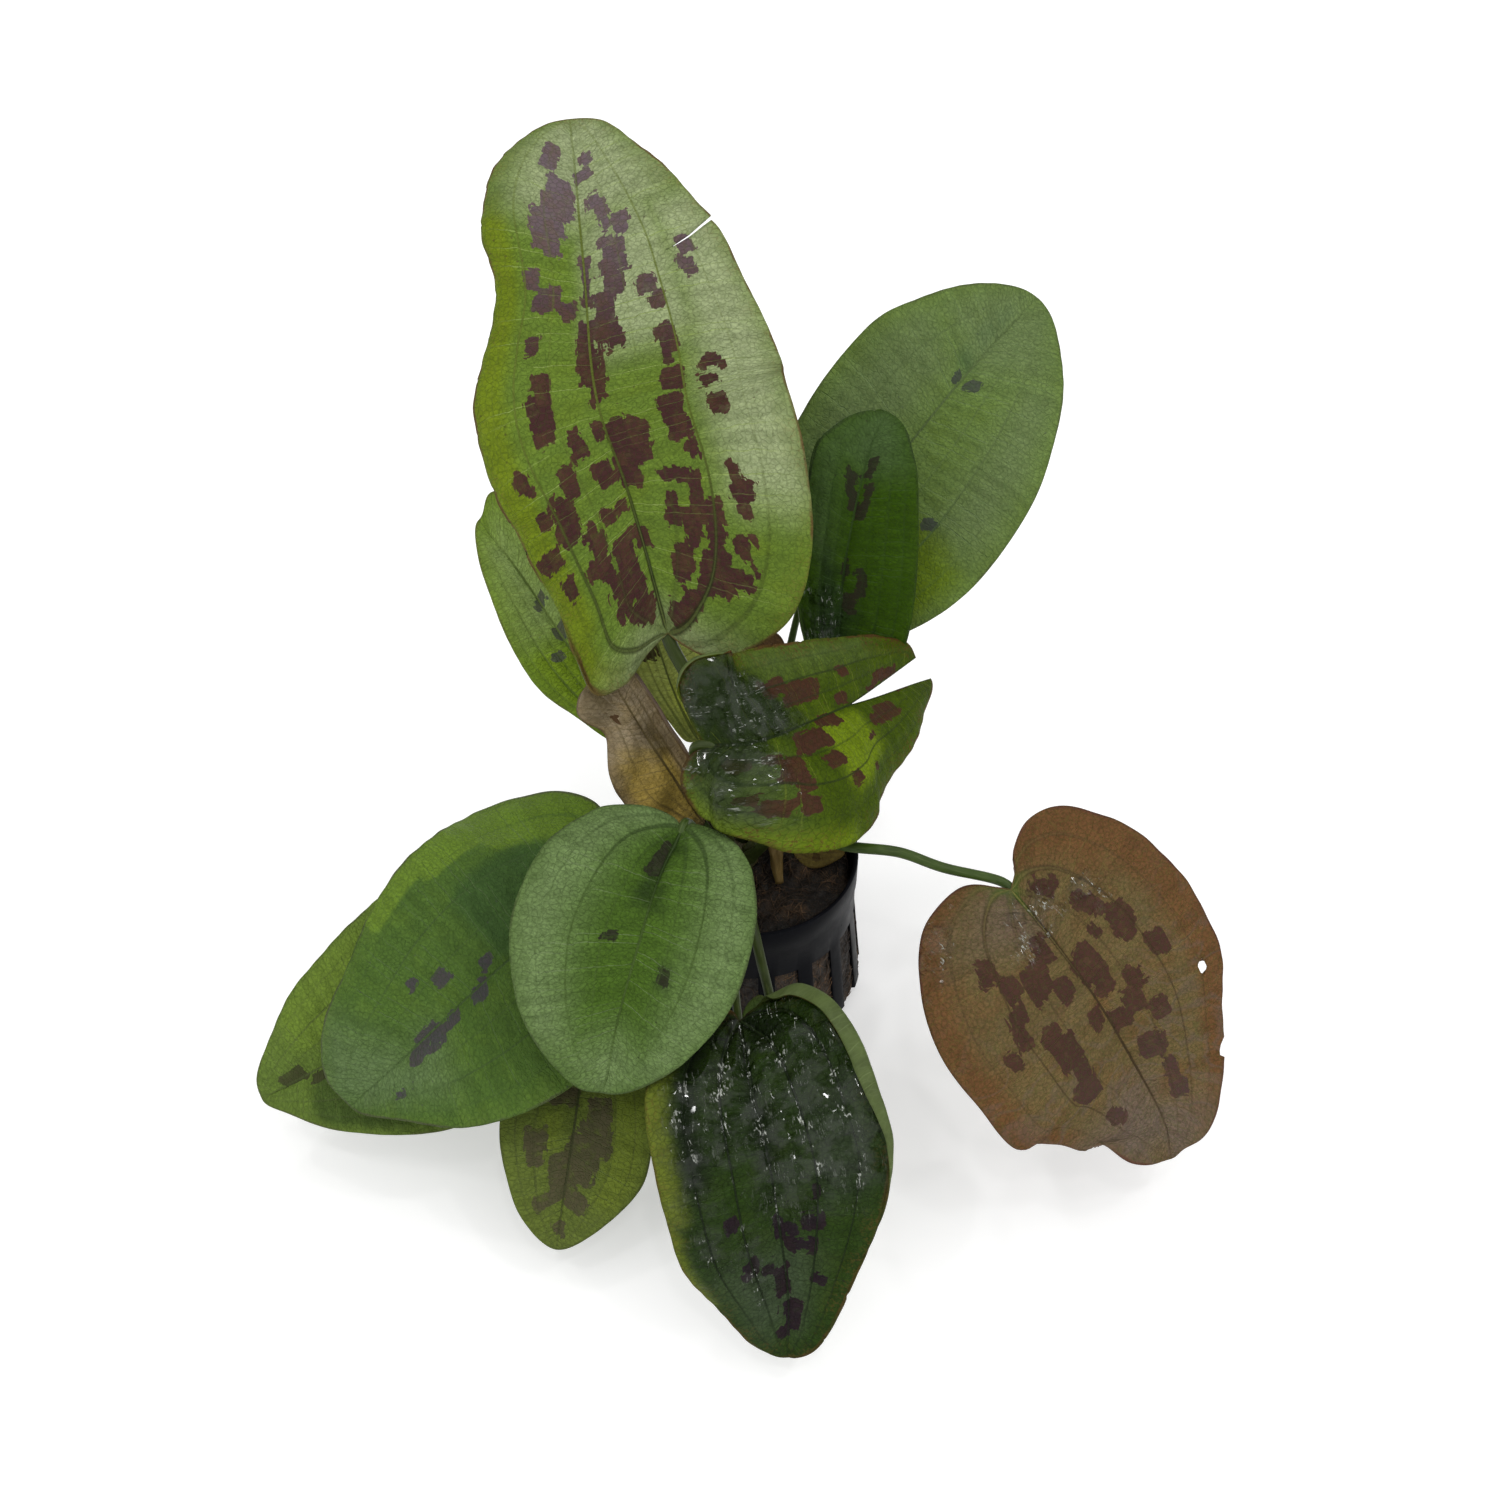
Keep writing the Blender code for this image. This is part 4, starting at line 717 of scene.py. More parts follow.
def tearSheet(sheet, seam):
    # opens the grid along the edges that seam picks by their middle
    bm = bmesh.new()
    bm.from_mesh(sheet.data)
    edges = [edge for edge in bm.edges if seam((edge.verts[0].co + edge.verts[1].co) / 2)]
    bmesh.ops.split_edges(bm, edges=edges)
    bm.to_mesh(sheet.data)
    bm.free()


def vertexMiddles(mesh):
    # mean of the faces round each vertex, which tells the two sides of a tear apart
    corner = cornerVertices(mesh)
    faceOf = np.arange(len(mesh.loops)) // 4
    centres = np.empty(len(mesh.polygons) * 3)
    mesh.polygons.foreach_get("center", centres)
    centres = centres.reshape(-1, 3)
    total = np.zeros((len(mesh.vertices), 3))
    count = np.zeros(len(mesh.vertices))
    np.add.at(total, corner, centres[faceOf])
    np.add.at(count, corner, 1)
    return total / np.maximum(count, 1)[:, None]


def pickOnly(piece):
    bpy.ops.object.select_all(action="DESELECT")
    piece.select_set(True)
    bpy.context.view_layer.objects.active = piece


def applyModifier(piece, kind, **settings):
    pickOnly(piece)
    change = piece.modifiers.new("shape", kind)
    for key, value in settings.items():
        setattr(change, key, value)
    bpy.ops.object.modifier_apply(modifier=change.name)


def editMesh(piece, *steps):
    pickOnly(piece)
    bpy.ops.object.mode_set(mode="EDIT")
    bpy.ops.mesh.select_all(action="SELECT")
    for step in steps:
        step()
    bpy.ops.object.mode_set(mode="OBJECT")


def storeVectors(mesh, name, values):
    layer = mesh.attributes.new(name, "FLOAT_VECTOR", "POINT")
    layer.data.foreach_set("vector", np.ascontiguousarray(values, dtype=np.float32).ravel())


tiny = 1e-4          # share of the sheet, tells whether a place is on a tear
slitEase = 0.06      # share of the length over which the rows bend towards a slit
slitReach = 0.02     # share of the length over which a slit gapes


def growBlade(name, leaf):
    shape = makeShape(leaf)
    values, length = shape["values"], shape["length"]
    widest = max(margin[:, 1].max() for margin in shape["margins"].values())
    # whole numbers of facets, so that a facet's edge runs along the midrib
    columns = max(16, 8 * round(2 * widest / values["cell"] / 8))
    rows = max(16, round(length * 1.15 / values["cell"]))
    curl = values.get("curl")
    extra = max(3, math.ceil(columns * 0.06)) if curl else 0
    sheet = freshSheet(name, columns + extra, rows)
    mesh = sheet.data

    def toPlace(co):
        x, v = (co[:, 0] + 1) / 2, (co[:, 1] + 1) / 2
        first = -1 - (extra * 2 / columns if curl and curl["side"] < 0 else 0)
        return first + x * (columns + extra) * 2 / columns, v

    slit, split = values.get("slit"), values.get("split")
    slitRow = round(slit["along"] * rows) / rows if slit else 0
    if slit:
        tearSheet(sheet, lambda middle: abs((middle.y + 1) / 2 - slitRow) < tiny
                  and toPlace(np.array([middle]))[0][0] * slit["side"] > slit["start"])
    if split:
        tearSheet(sheet, lambda middle: abs(toPlace(np.array([middle]))[0][0]) < tiny
                  and (middle.y + 1) / 2 > split[0])
    u, v = toPlace(readPlaces(mesh))
    middleU, middleV = toPlace(vertexMiddles(mesh))
    side = np.where(np.abs(u) < tiny, np.where(middleU < 0, -1.0, 1.0), np.sign(u))

    if slit:
        # the slit runs inwards and away from the tip
        share = np.clip((np.abs(u) - slit["start"]) / (1 - slit["start"]), 0, 1)
        near = np.exp(-((v - slitRow) / slitEase) ** 2)
        near *= bump(u * slit["side"], slit["start"] - 0.3, slit["start"])
        v = v - slit["slant"] * (1 - share) * near
    # a round hole: vertices inside it move out to its rim, and the faces within it go
    gone = np.zeros(len(u), bool)
    if "hole" in values:
        holeU, holeV, radius = values["hole"]
        holeSide = np.sign([holeU])
        along, across, _ = flatPlace(shape, u, v, side)
        holeAlong, holeAcross, holeEdge = flatPlace(shape, np.array([holeU]), np.array([holeV]), holeSide)
        away = np.stack([side * across - holeSide * holeAcross, along - holeAlong], 1)
        far = np.linalg.norm(away, axis=1)
        gone = far < radius
        push = away / np.maximum(far, 1e-3)[:, None] * np.maximum(radius - far, 0)[:, None]
        u = u + push[:, 0] / holeEdge
        v = v + push[:, 1] / length
    if "notch" in values:
        notchU, notchV, radius = values["notch"]
        edge = flatPlace(shape, u, v, side)[2]
        dent = np.sqrt(np.clip(1 - ((v - notchV) * length / radius) ** 2, 0, 1))
        near = bump(u * math.copysign(1, notchU), 0.8, 1.0)
        u = u * (1 - near * dent * radius * 1.6 / np.maximum(edge, 1))

    along, across, edge = flatPlace(shape, u, v, side)
    width = np.abs(u)
    # a rolled margin: the strip beyond the outline turns over on a small radius
    turn = np.zeros(len(u))
    inner = u.copy()
    if curl:
        here = curl["side"] * u
        taper = curl.get("taper", 0.12)
        strength = bump(v, curl["first"], curl["first"] + 0.1)
        strength *= 1 - bump(v, curl["last"] - taper, curl["last"])
        pull = strength * curl["radius"] / np.maximum(edge, 3)
        inner = np.where(here > 0, curl["side"] * np.minimum(here, 1) * (1 - pull), u)
        turn = np.clip((here - 1) / (extra * 2 / columns), 0, 1) * strength
    inner = np.clip(inner, -1, 1)
    point = bladePlace(shape, inner, v, side)
    step = 1e-3
    dU = bladePlace(shape, np.clip(inner - side * step, -1, 1), v, side) - point
    ahead = bladePlace(shape, inner, np.clip(v + step, 0, 1), side)
    dV = ahead - bladePlace(shape, inner, np.clip(v - step, 0, 1), side)
    poles = (np.linalg.norm(dU, axis=1) < 1e-7) | (np.linalg.norm(dV, axis=1) < 1e-7)
    dU[poles] = (1, 0, 0)
    dV[poles] = (0, 1, 0)
    up = unit(np.cross(unit(dV), unit(dU)) * side[:, None])
    frameUp = midribFrame(shape, along)[3]
    up = np.where((poles | (np.sum(up * frameUp, 1) < 0.2))[:, None], frameUp, up)

    # relief: grooves over the main veins, cushions between them, waves towards the margin
    lines = ((0.0, 1.0), *values["veins"])
    gaps = np.stack([np.abs(u - line) * edge for line, _ in lines], 1)
    gap = gaps.min(1)
    cross = crossPlace(shape, across, u, v)
    weight = np.array([strength for _, strength in lines])[gaps.argmin(1)]
    weight = weight * (1 - 0.7 * bump(v, 0.6, 0.95))
    panel = gaps.argmin(1)
    height = -values["groove"] * weight * np.exp(-(gap / 0.8) ** 2)
    cushion = (1 - bump(width, 0.8, 1.0)) * (1 - bump(v, 0.7, 1))
    height += values["quilt"] * (1 - np.exp(-(gap / 3.5) ** 2)) * cushion
    height += values["pucker"] * np.sin(cross * 2 * math.pi / values["puckerPitch"] + panel * 2.1) * (
        1 - np.exp(-(gap / 2.0) ** 2))
    height += values["wave"] * np.sin(along * 0.19 + side * 1.3) * np.sin(across * 0.16 + 0.6) * 0.6
    height += values["wave"] * 0.7 * width ** 3 * np.sin(along * 0.33 + side * 0.9 + 1.0)
    height += values["fold"] * np.sin(along * 0.45 + across * 0.3) * np.minimum(1, across / 4)
    height *= bump(np.minimum(edge, 12), 0, 9) * bump(v, 0, 0.06) * (1 - bump(v, 0.94, 1.0))
    point = point + up * height[:, None]
    if slit:
        row = v + slit["slant"] * (1 - share) - slitRow
        onRow = (np.abs(row) < slitReach) & (u * slit["side"] > slit["start"])
        opening = np.where(onRow, 0.5 * slit["gap"] * share * np.sign(middleV - slitRow), 0)
        opening *= 1 - np.abs(row) / slitReach
        point = point + midribFrame(shape, along)[1] * opening[:, None]
    if curl:
        outward = -unit(dU)
        angle = turn * curl["width"] / curl["radius"]
        fullTurn = math.pi * 0.92     # past this the strip runs on straight
        rolled = np.minimum(angle, fullTurn)
        beyond = (angle - rolled) * curl["radius"]
        reach = curl["radius"] * np.sin(rolled) + beyond * math.cos(fullTurn)
        lift = curl["radius"] * (1 - np.cos(rolled)) + beyond * math.sin(fullTurn)
        point = point + outward * reach[:, None] + up * lift[:, None]

    writePlaces(mesh, point)
    layer = mesh.uv_layers.new(name="leafUV")
    layer.data.foreach_set("uv", np.stack([u, v], 1)[cornerVertices(mesh)].ravel())
    flatAcross = side * across + (width - np.minimum(width, 1)) * 20 * side
    storeVectors(mesh, "flatPlace", np.stack([flatAcross, along, cross], 1))
    edgeGap = np.minimum((1 - np.minimum(width, 1)) * edge, 20)
    storeVectors(mesh, "gaps", np.stack([gap, edgeGap, weight], 1))
    masks = [depthInside(values.get(key, ()), shape, u, cross)
             for key in ("spots", "brightSpots", "darkSpots", "sheenSpots", "wetSpots")]
    storeVectors(mesh, "stains", np.stack(masks[:3], 1))
    storeVectors(mesh, "films", np.stack([masks[3], masks[4], width], 1))
    if gone.any():
        bm = bmesh.new()
        bm.from_mesh(mesh)
        bm.verts.ensure_lookup_table()
        inHole = [face for face in bm.faces if all(gone[vert.index] for vert in face.verts)]
        bmesh.ops.delete(bm, geom=inHole, context="FACES")
        bm.to_mesh(mesh)
        bm.free()
    editMesh(sheet, lambda: bpy.ops.mesh.remove_doubles(threshold=1e-6),
             lambda: bpy.ops.mesh.delete_loose())
    return sheet, shape


print("leaf shapes described:", len(leaves))


# materials of the leaves

def readAttribute(tree, name):
    return put(tree, "ShaderNodeAttribute", attribute_name=name).outputs["Vector"]


def splitVector(tree, vector):
    return tuple(put(tree, "ShaderNodeSeparateXYZ", {0: vector}).outputs)


def leafMaterial(name, values):
    material, tree, shader = newMaterial(name)
    flat = readAttribute(tree, "flatPlace")
    cross = splitVector(tree, flat)[2]
    gap, edgeGap, weight = splitVector(tree, readAttribute(tree, "gaps"))
    blotchField, brightField, darkField = splitVector(tree, readAttribute(tree, "stains"))
    sheenField, wetField, width = splitVector(tree, readAttribute(tree, "films"))
    u, v, _ = splitVector(tree, put(tree, "ShaderNodeUVMap", uv_map="leafUV").outputs[0])
    nearGap = times(tree, gap, fade(tree, v, 0.0, 0.5, 0.5, 1.0))     # veins widen towards the joint
    feeds = {"Across": u, "Cross": cross, "Flat": flat, "Gap": nearGap, "Pitch": values["crossPitch"]}
    veins = useGroup(tree, veinGroup, feeds)
    cell = veins.outputs["Cell"]

    def stain(field, jag, soft):
        feeds = {"Field": field, "Cell": cell, "Flat": flat, "Jag": jag, "Soft": soft}
        return useGroup(tree, stainGroup, feeds).outputs["Mask"]

    def over(colour, amount, mask, key):
        return mixTone(tree, times(tree, mask, amount), colour, tone(values[key]))

    cloud = mottleNoise(tree, flat, 0.13, 3.0)
    grain = mottleNoise(tree, flat, 1.4, 4.0, 0.65)
    patchy = mottleNoise(tree, flat, 0.38, 5.0, 0.6)
    cloudy = fade(tree, cloud, 0.4, 0.75, 0.0, values["cloudy"])
    colour = mixTone(tree, cloudy, tone(values["green"]), tone(values["bright"]))
    # lighter margins and bright patches: partly the leaf's own yellower or rustier colour, partly painted
    # light where the thin blade is lit through
    colour = over(colour, values["brightEdge"], fade(tree, width, 0.8, 1.0), "bright")
    colour = over(colour, 0.9, stain(brightField, 0.6, values["brightSoft"]), "bright")
    # darker patches: partly the leaf's own darker colour, partly painted shade where neighbouring leaves
    # shadow the blade
    colour = over(colour, 0.85, stain(darkField, 1.2, 2.2), "dark")
    # painted sheen: pale grey-green patches where the leaf would show a soft reflection
    paintedSheen = times(tree, stain(sheenField, 1.2, values["sheenSoft"]), fade(tree, patchy, 0.3, 0.62, 0.82, 1.0))
    colour = over(colour, values["sheenAmount"], paintedSheen, "sheenTone")
    # each strip between two cross veins has its own shade, and the surface is finely mottled
    shade = times(tree, fade(tree, veins.outputs["Strip"], 0.0, 1.0, 0.9, 1.08),
                  fade(tree, grain, 0.25, 0.75, 1 - values["mottle"], 1 + values["mottle"]),
                  fade(tree, patchy, 0.3, 0.7, 0.93, 1.06))
    colour = darken(tree, colour, shade)
    # painted sheen in pale wisps that wander over an old blade
    feeds = {"Vector": flat, "Scale": 0.055, "Detail": 2.0, "Distortion": 1.6}
    drift = put(tree, "ShaderNodeTexNoise", feeds).outputs[0]
    sheenWisp = fade(tree, calc(tree, "ABSOLUTE", minus(tree, drift, 0.5)), 0.06, 0.0)
    colour = over(colour, values["sheenWisps"], times(tree, sheenWisp, fade(tree, v, 0.3, 0.7)), "sheenTone")
    # blotches, greyer towards the tip where a painted sheen lies over them
    blotch = stain(blotchField, values["jag"], 0.1)
    blotch = times(tree, blotch, fade(tree, patchy, 0.3, 0.5, values["blotchThin"], 1.0))
    stainTone = mixTone(tree, fade(tree, v, 0.5, 0.85), tone(values["blotch"]), tone(values["blotchSheen"]))
    stainTone = mixTone(tree, fade(tree, cell, 0.3, 1.0, 0.0, values["edgeInStain"]), stainTone,
                        tone(values["edgeTone"]))
    colour = mixTone(tree, blotch, colour, stainTone)
    # veins and the margin
    lines = times(tree, veins.outputs["CrossVein"], fade(tree, blotch, 0.0, 1.0, 1.0, 0.3),
                  fade(tree, width, 0.92, 0.68, 0.2, 1.0))
    colour = over(colour, values["crossStrength"], lines, "crossTone")
    colour = over(colour, 0.21, veins.outputs["Fine"], "dark")
    mains = times(tree, veins.outputs["Main"], times(tree, weight, 1.5), clamp=True)
    veinTone = mixTone(tree, fade(tree, v, values["veinDark"], values["veinDark"] * 0.3),
                       tone(values["veinTone"]), tone(values["jointTone"]))
    colour = mixTone(tree, times(tree, mains, 0.9), colour, veinTone)
    # the middle of a thick vein stands up paler near the joint
    ridge = times(tree, fade(tree, gap, 0.28, 0.1), weight, fade(tree, v, 0.4, 0.1))
    colour = over(colour, values["ridge"], ridge, "crossTone")
    margin = times(tree, fade(tree, minus(tree, edgeGap, times(tree, patchy, 0.9)), 0.35, -0.2),
                   fade(tree, mottleNoise(tree, flat, 0.07), 0.4, 0.58, 0.12, values["outline"]))
    colour = over(colour, 1.0, margin, "edgeTone")
    # brown freckles gather near the margin
    freckles = times(tree, fade(tree, edgeGap, 6.5, 0.3), fade(tree, cloud, 0.42, 0.58),
                     fade(tree, grain, 0.5, 0.6))
    colour = over(colour, values["freckle"], freckles, "edgeTone")
    # a scatter of small dark specks
    speck = put(tree, "ShaderNodeTexVoronoi", {"Vector": flat, "Scale": 0.33}).outputs["Distance"]
    speck = times(tree, fade(tree, speck, 0.13, 0.06), fade(tree, mottleNoise(tree, flat, 0.08), 0.5, 0.62))
    colour = over(colour, 0.5, speck, "blotch")
    swirl = times(tree, minus(tree, mottleNoise(tree, flat, 0.16, 3.0), 0.5), 9.0)
    wet = stain(plus(tree, wetField, swirl), 0.8, values["wetSoft"])
    film = useGroup(tree, filmGroup, {"Wet": wet, "Flat": flat, "Gap": gap, "Dry": values["dryRoughness"]})
    colour = over(colour, values["wetDark"], wet, "dark")
    # painted glints: pale streaks mixed into the base colour where the film's glint mask lies
    paintedGlint = times(tree, film.outputs["GlintStreaks"], values["paintedGlint"])
    colour = mixTone(tree, paintedGlint, colour, tone((0.5, 0.52, 0.47)))

    dryRough = times(tree, minus(tree, grain, 0.5), 0.3)
    height = plus(
        tree, times(tree, veins.outputs["CrossVein"], -0.13), times(tree, veins.outputs["Fine"], -0.1),
        times(tree, grain, 0.14), times(tree, patchy, 0.5), times(tree, mains, -0.12), film.outputs["Height"])
    dress(tree, shader, height, {
        "Base Color": colour, "Roughness": plus(tree, film.outputs["Roughness"], dryRough, clamp=True),
        "Coat Weight": film.outputs["Coat"], "Coat Roughness": 0.06, "Coat IOR": 1.33, "IOR": 1.42,
        "Specular IOR Level": 0.1})
    return material


def undersideMaterial(name, colour, veinColour):
    # the matt lower side, with its veins standing out paler
    material, tree, shader = newMaterial(name)
    flat = readAttribute(tree, "flatPlace")
    gap, _, weight = splitVector(tree, readAttribute(tree, "gaps"))
    cross = splitVector(tree, flat)[2]
    u = splitVector(tree, put(tree, "ShaderNodeUVMap", uv_map="leafUV").outputs[0])[0]
    veins = useGroup(tree, veinGroup, {"Across": u, "Cross": cross, "Flat": flat, "Gap": gap, "Pitch": 1.6})
    mains = times(tree, veins.outputs["Main"], weight)
    cloud = mottleNoise(tree, flat, 0.15, 4.0)
    shade = tuple(part * 0.72 for part in colour)
    base = mixTone(tree, fade(tree, cloud, 0.35, 0.65), tone(colour), tone(shade))
    for line, amount in ((veins.outputs["CrossVein"], 0.5), (veins.outputs["Fine"], 0.18), (mains, 0.9)):
        base = mixTone(tree, times(tree, line, amount), base, tone(veinColour))
    grain = mottleNoise(tree, flat, 1.2, 4.0, 0.65)
    height = plus(tree, times(tree, veins.outputs["CrossVein"], 0.09), times(tree, mains, 0.25),
                  times(tree, grain, 0.06))
    dress(tree, shader, height, {
        "Base Color": base, "Roughness": fade(tree, grain, 0.2, 0.8, 0.5, 0.72), "Specular IOR Level": 0.3})
    return material


def thicken(blade, values):
    applyModifier(blade, "SOLIDIFY", thickness=values["thickness"] * mm, offset=0.0, material_offset=1,
                  use_quality_normals=True)
    blade.data.shade_smooth()


undersides = {
    "green": undersideMaterial("undersideGreen", (0.07, 0.1, 0.022), (0.11, 0.15, 0.045)),
    "rust": undersideMaterial("undersideRust", (0.15, 0.1, 0.07), (0.22, 0.17, 0.11)),
}
shapes = {}
for leafName, leaf in leaves.items():
    blade, shape = growBlade(leafName + "Leaf", leaf)
    shapes[leafName] = shape
    kind = "rust" if leaf["slot"] in ("rust_leaf", "brown_leaf") else "green"
    blade.data.materials.append(leafMaterial(leafName + "Skin", shape["values"]))
    blade.data.materials.append(undersides[kind])
    thicken(blade, shape["values"])
    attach(blade, "root")
    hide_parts("leaf_" + leaf["node"])
    print("leaf", leafName, "triangles", sum(len(face.vertices) - 2 for face in blade.data.polygons))


# stalks: tubes from the crown to the blade, which go on under it as its midrib

crownValues = dict(centre=(-6.0, 2.0), radius=7.4, foot=40.6, height=4.2)      # the stalks lean away from it
stalkValues = dict(
    sides=16, spacing=0.9,
    flare=1.45, flareLength=4.0,     # wider foot in the crown
    rooted=3.0, rise=9.0,            # how deep the foot goes into the crown, and how steeply it leans
    tailRadius=0.32,                 # at the far end of the midrib
    groove=0.13)


def growTube(name, route, radii, sides, upEnd, groove=0.0, wrinkle=0.0):
    # a closed tube of even rings along the route
    rows = len(route) - 1
    sheet = freshSheet(name, sides, rows)
    mesh = sheet.data
    co = readPlaces(mesh)
    angle = (co[:, 0] + 1) * math.pi
    row = np.rint((co[:, 1] + 1) / 2 * rows).astype(int)
    heading = unit(np.gradient(route, axis=0))
    normals = np.zeros_like(route)
    normal = np.array(upEnd, float)
    for index in range(rows, -1, -1):
        normal = normal - heading[index] * normal.dot(heading[index])
        normal = normal / np.linalg.norm(normal)
        normals[index] = normal
    sideways = np.cross(normals, heading)
    top = np.abs((angle - math.pi / 2 + math.pi) % (2 * math.pi) - math.pi)
    radius = radii[row] * (1 - groove * np.exp(-(top / 0.4) ** 2))
    folds = np.sin(angle * 5 + row * 0.21) + np.sin(angle * 3 - row * 0.13)
    radius = radius * (1 + wrinkle * folds)
    outX, outY = np.cos(angle) * radius, np.sin(angle) * radius
    writePlaces(mesh, route[row] + outX[:, None] * sideways[row] + outY[:, None] * normals[row])
    reach = np.concatenate([[0], np.cumsum(np.linalg.norm(np.diff(route, axis=0), axis=1))])
    storeVectors(mesh, "tubePlace", np.stack([outX, outY, reach[row]], 1))
    storeVectors(mesh, "tubeShare", np.stack([reach[row] / reach[-1], top, radius], 1))
    editMesh(sheet, lambda: bpy.ops.mesh.remove_doubles(threshold=1e-6))
    sheet.data.shade_smooth()
    return sheet


def tubeMaterial(name, colour, foot, streak, roughness=0.38, rough=0.05):
    material, tree, shader = newMaterial(name)
    place = readAttribute(tree, "tubePlace")
    share = splitVector(tree, readAttribute(tree, "tubeShare"))[0]
    fibres = mottleNoise(tree, drawnOut(tree, place, (1.0, 1.0, 0.12)), 2.2, 4.0, 0.6)
    cloud = mottleNoise(tree, place, 0.16, 3.0)
    shade = tuple(part * 0.7 for part in colour)
    base = mixTone(tree, fade(tree, cloud, 0.3, 0.7), tone(colour), tone(shade))
    base = mixTone(tree, fade(tree, fibres, 0.5, 0.7, 0.0, 0.55), base, tone(streak))
    base = mixTone(tree, fade(tree, share, 0.3, 0.0), base, tone(foot))
    fine = mottleNoise(tree, place, 1.2, 3.0)
    dress(tree, shader, plus(tree, times(tree, fibres, rough * 2), times(tree, fine, rough)), {
        "Base Color": base, "Roughness": fade(tree, fibres, 0.2, 0.8, roughness - 0.08, roughness + 0.1),
        "Specular IOR Level": 0.2})
    return material


stalkSkins = {
    "dark": tubeMaterial("stalkDark", (0.03, 0.046, 0.006), (0.04, 0.046, 0.012), (0.06, 0.08, 0.016)),
    "fresh": tubeMaterial("stalkFresh", (0.036, 0.066, 0.008), (0.04, 0.055, 0.014), (0.07, 0.1, 0.026)),
}
darkStalks = ("tallBack", "darkUpright", "wetFront", "frontLow", "splitTip")


def growStalk(name, leaf, shape):
    thick, thin = leaf["stalkRadius"]
    length = shape["length"]
    way = [np.array(point, float) for point in leaf["stalk"]]
    centreX, centreY = crownValues["centre"]
    lean = unit(np.array([way[0][0] - centreX, way[0][1] - centreY, stalkValues["rise"]]))
    foot = way[0] - lean * stalkValues["rooted"]
    joint, forward, _, up, _ = (part[0] for part in midribFrame(shape, np.array([0.0])))
    tail = []
    for share in np.linspace(0.05, shape["values"]["midribReach"], 9):
        point, _, _, over, _ = (part[0] for part in midribFrame(shape, np.array([share * length])))
        radius = thin + (stalkValues["tailRadius"] - thin) * share ** 0.7
        tail.append(point - over * (0.55 + 0.6 * radius))
    start = joint - up * thin * 0.8 - forward * 3.0
    route, total = evenCurve([foot] + way + [start] + tail, 400)
    count = max(12, round(total / stalkValues["spacing"]))
    route = route[np.rint(np.linspace(0, 399, count + 1)).astype(int)]
    reach = np.linspace(0, total, count + 1)
    toJoint = total - np.linalg.norm(np.diff(np.array([start] + tail), axis=0), axis=1).sum()
    stem = np.clip(reach / toJoint, 0, 1)
    radii = thick + (thin - thick) * stem
    radii = radii * (1 + (stalkValues["flare"] - 1) * np.clip(1 - reach / stalkValues["flareLength"], 0, 1))
    beyond = np.clip((reach - toJoint) / (total - toJoint), 0, 1)
    radii = radii + (stalkValues["tailRadius"] - thin) * beyond ** 0.7
    radii[0] = radii[-1] = 0.0
    return growTube(name, route, radii, stalkValues["sides"], up, stalkValues["groove"])


for leafName, leaf in leaves.items():
    stalk = growStalk(leafName + "Stalk", leaf, shapes[leafName])
    stalk.data.materials.append(stalkSkins["dark" if leafName in darkStalks else "fresh"])
    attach(stalk, "root")
    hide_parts("stalk_" + leaf["node"])
print("stalks done")


# net pot: a slotted wall with a rim band, and a base plate with drainage slots

potValues = dict(
    profile=[(0.0, 26.4), (0.4, 26.8), (2.6, 26.8), (3.5, 28.5), (8.0, 28.1), (16.0, 27.45), (29.0, 26.4),
             (38.0, 26.4), (38.6, 26.8), (46.6, 27.0), (47.0, 26.6)],
    wall=1.0, sides=160, slots=16, slotTurn=-2.5, slotWidth=13.2, slotLow=2.6, slotHigh=29.0, edge=0.22,
    base=dict(radius=26.2, thickness=1.4, slots=8, inner=9.0, outer=21.0, width=3.6, edge=0.15),
    dark=(0.002, 0.0023, 0.0036), light=(0.005, 0.0054, 0.0076),
    scratch=(0.012, 0.013, 0.016), mark=(0.025, 0.022, 0.02))


def makePot():
    values = potValues
    pitch = 360 / values["slots"]
    turn = math.radians(values["slotTurn"])
    first = values["profile"][0]
    bpy.ops.object.select_all(action="DESELECT")
    bpy.ops.mesh.primitive_circle_add(vertices=values["sides"], radius=first[1] * mm, location=(0, 0, 0),
                                      rotation=(0, 0, turn))
    pot = bpy.context.object
    pot.name = "netPot"
    bpy.ops.object.transform_apply(location=True, rotation=True, scale=True)
    bpy.ops.object.mode_set(mode="EDIT")
    bpy.ops.mesh.select_all(action="SELECT")
    for (low, inner), (high, outer) in zip(values["profile"], values["profile"][1:]):
        bpy.ops.mesh.extrude_edges_move(TRANSFORM_OT_translate={"value": (0, 0, (high - low) * mm)})
        bpy.ops.transform.resize(value=(outer / inner, outer / inner, 1.0))
    bpy.ops.mesh.select_all(action="DESELECT")
    bpy.ops.object.mode_set(mode="OBJECT")
    for face in pot.data.polygons:
        x, y, z = face.center
        away = (math.degrees(math.atan2(y, x)) - values["slotTurn"] + pitch / 2) % pitch - pitch / 2
        inSlot = abs(away) < values["slotWidth"] / 2
        face.select = inSlot and values["slotLow"] < z / mm < values["slotHigh"]
    bpy.ops.object.mode_set(mode="EDIT")
    bpy.ops.mesh.delete(type="FACE")
    bpy.ops.mesh.select_all(action="SELECT")
    bpy.ops.mesh.normals_make_consistent(inside=False)
    bpy.ops.object.mode_set(mode="OBJECT")
    applyModifier(pot, "SOLIDIFY", thickness=values["wall"] * mm, offset=-1.0, use_even_offset=True)
    applyModifier(pot, "BEVEL", width=values["edge"] * mm, segments=2, limit_method="ANGLE",
                  angle_limit=math.radians(35))
    return pot


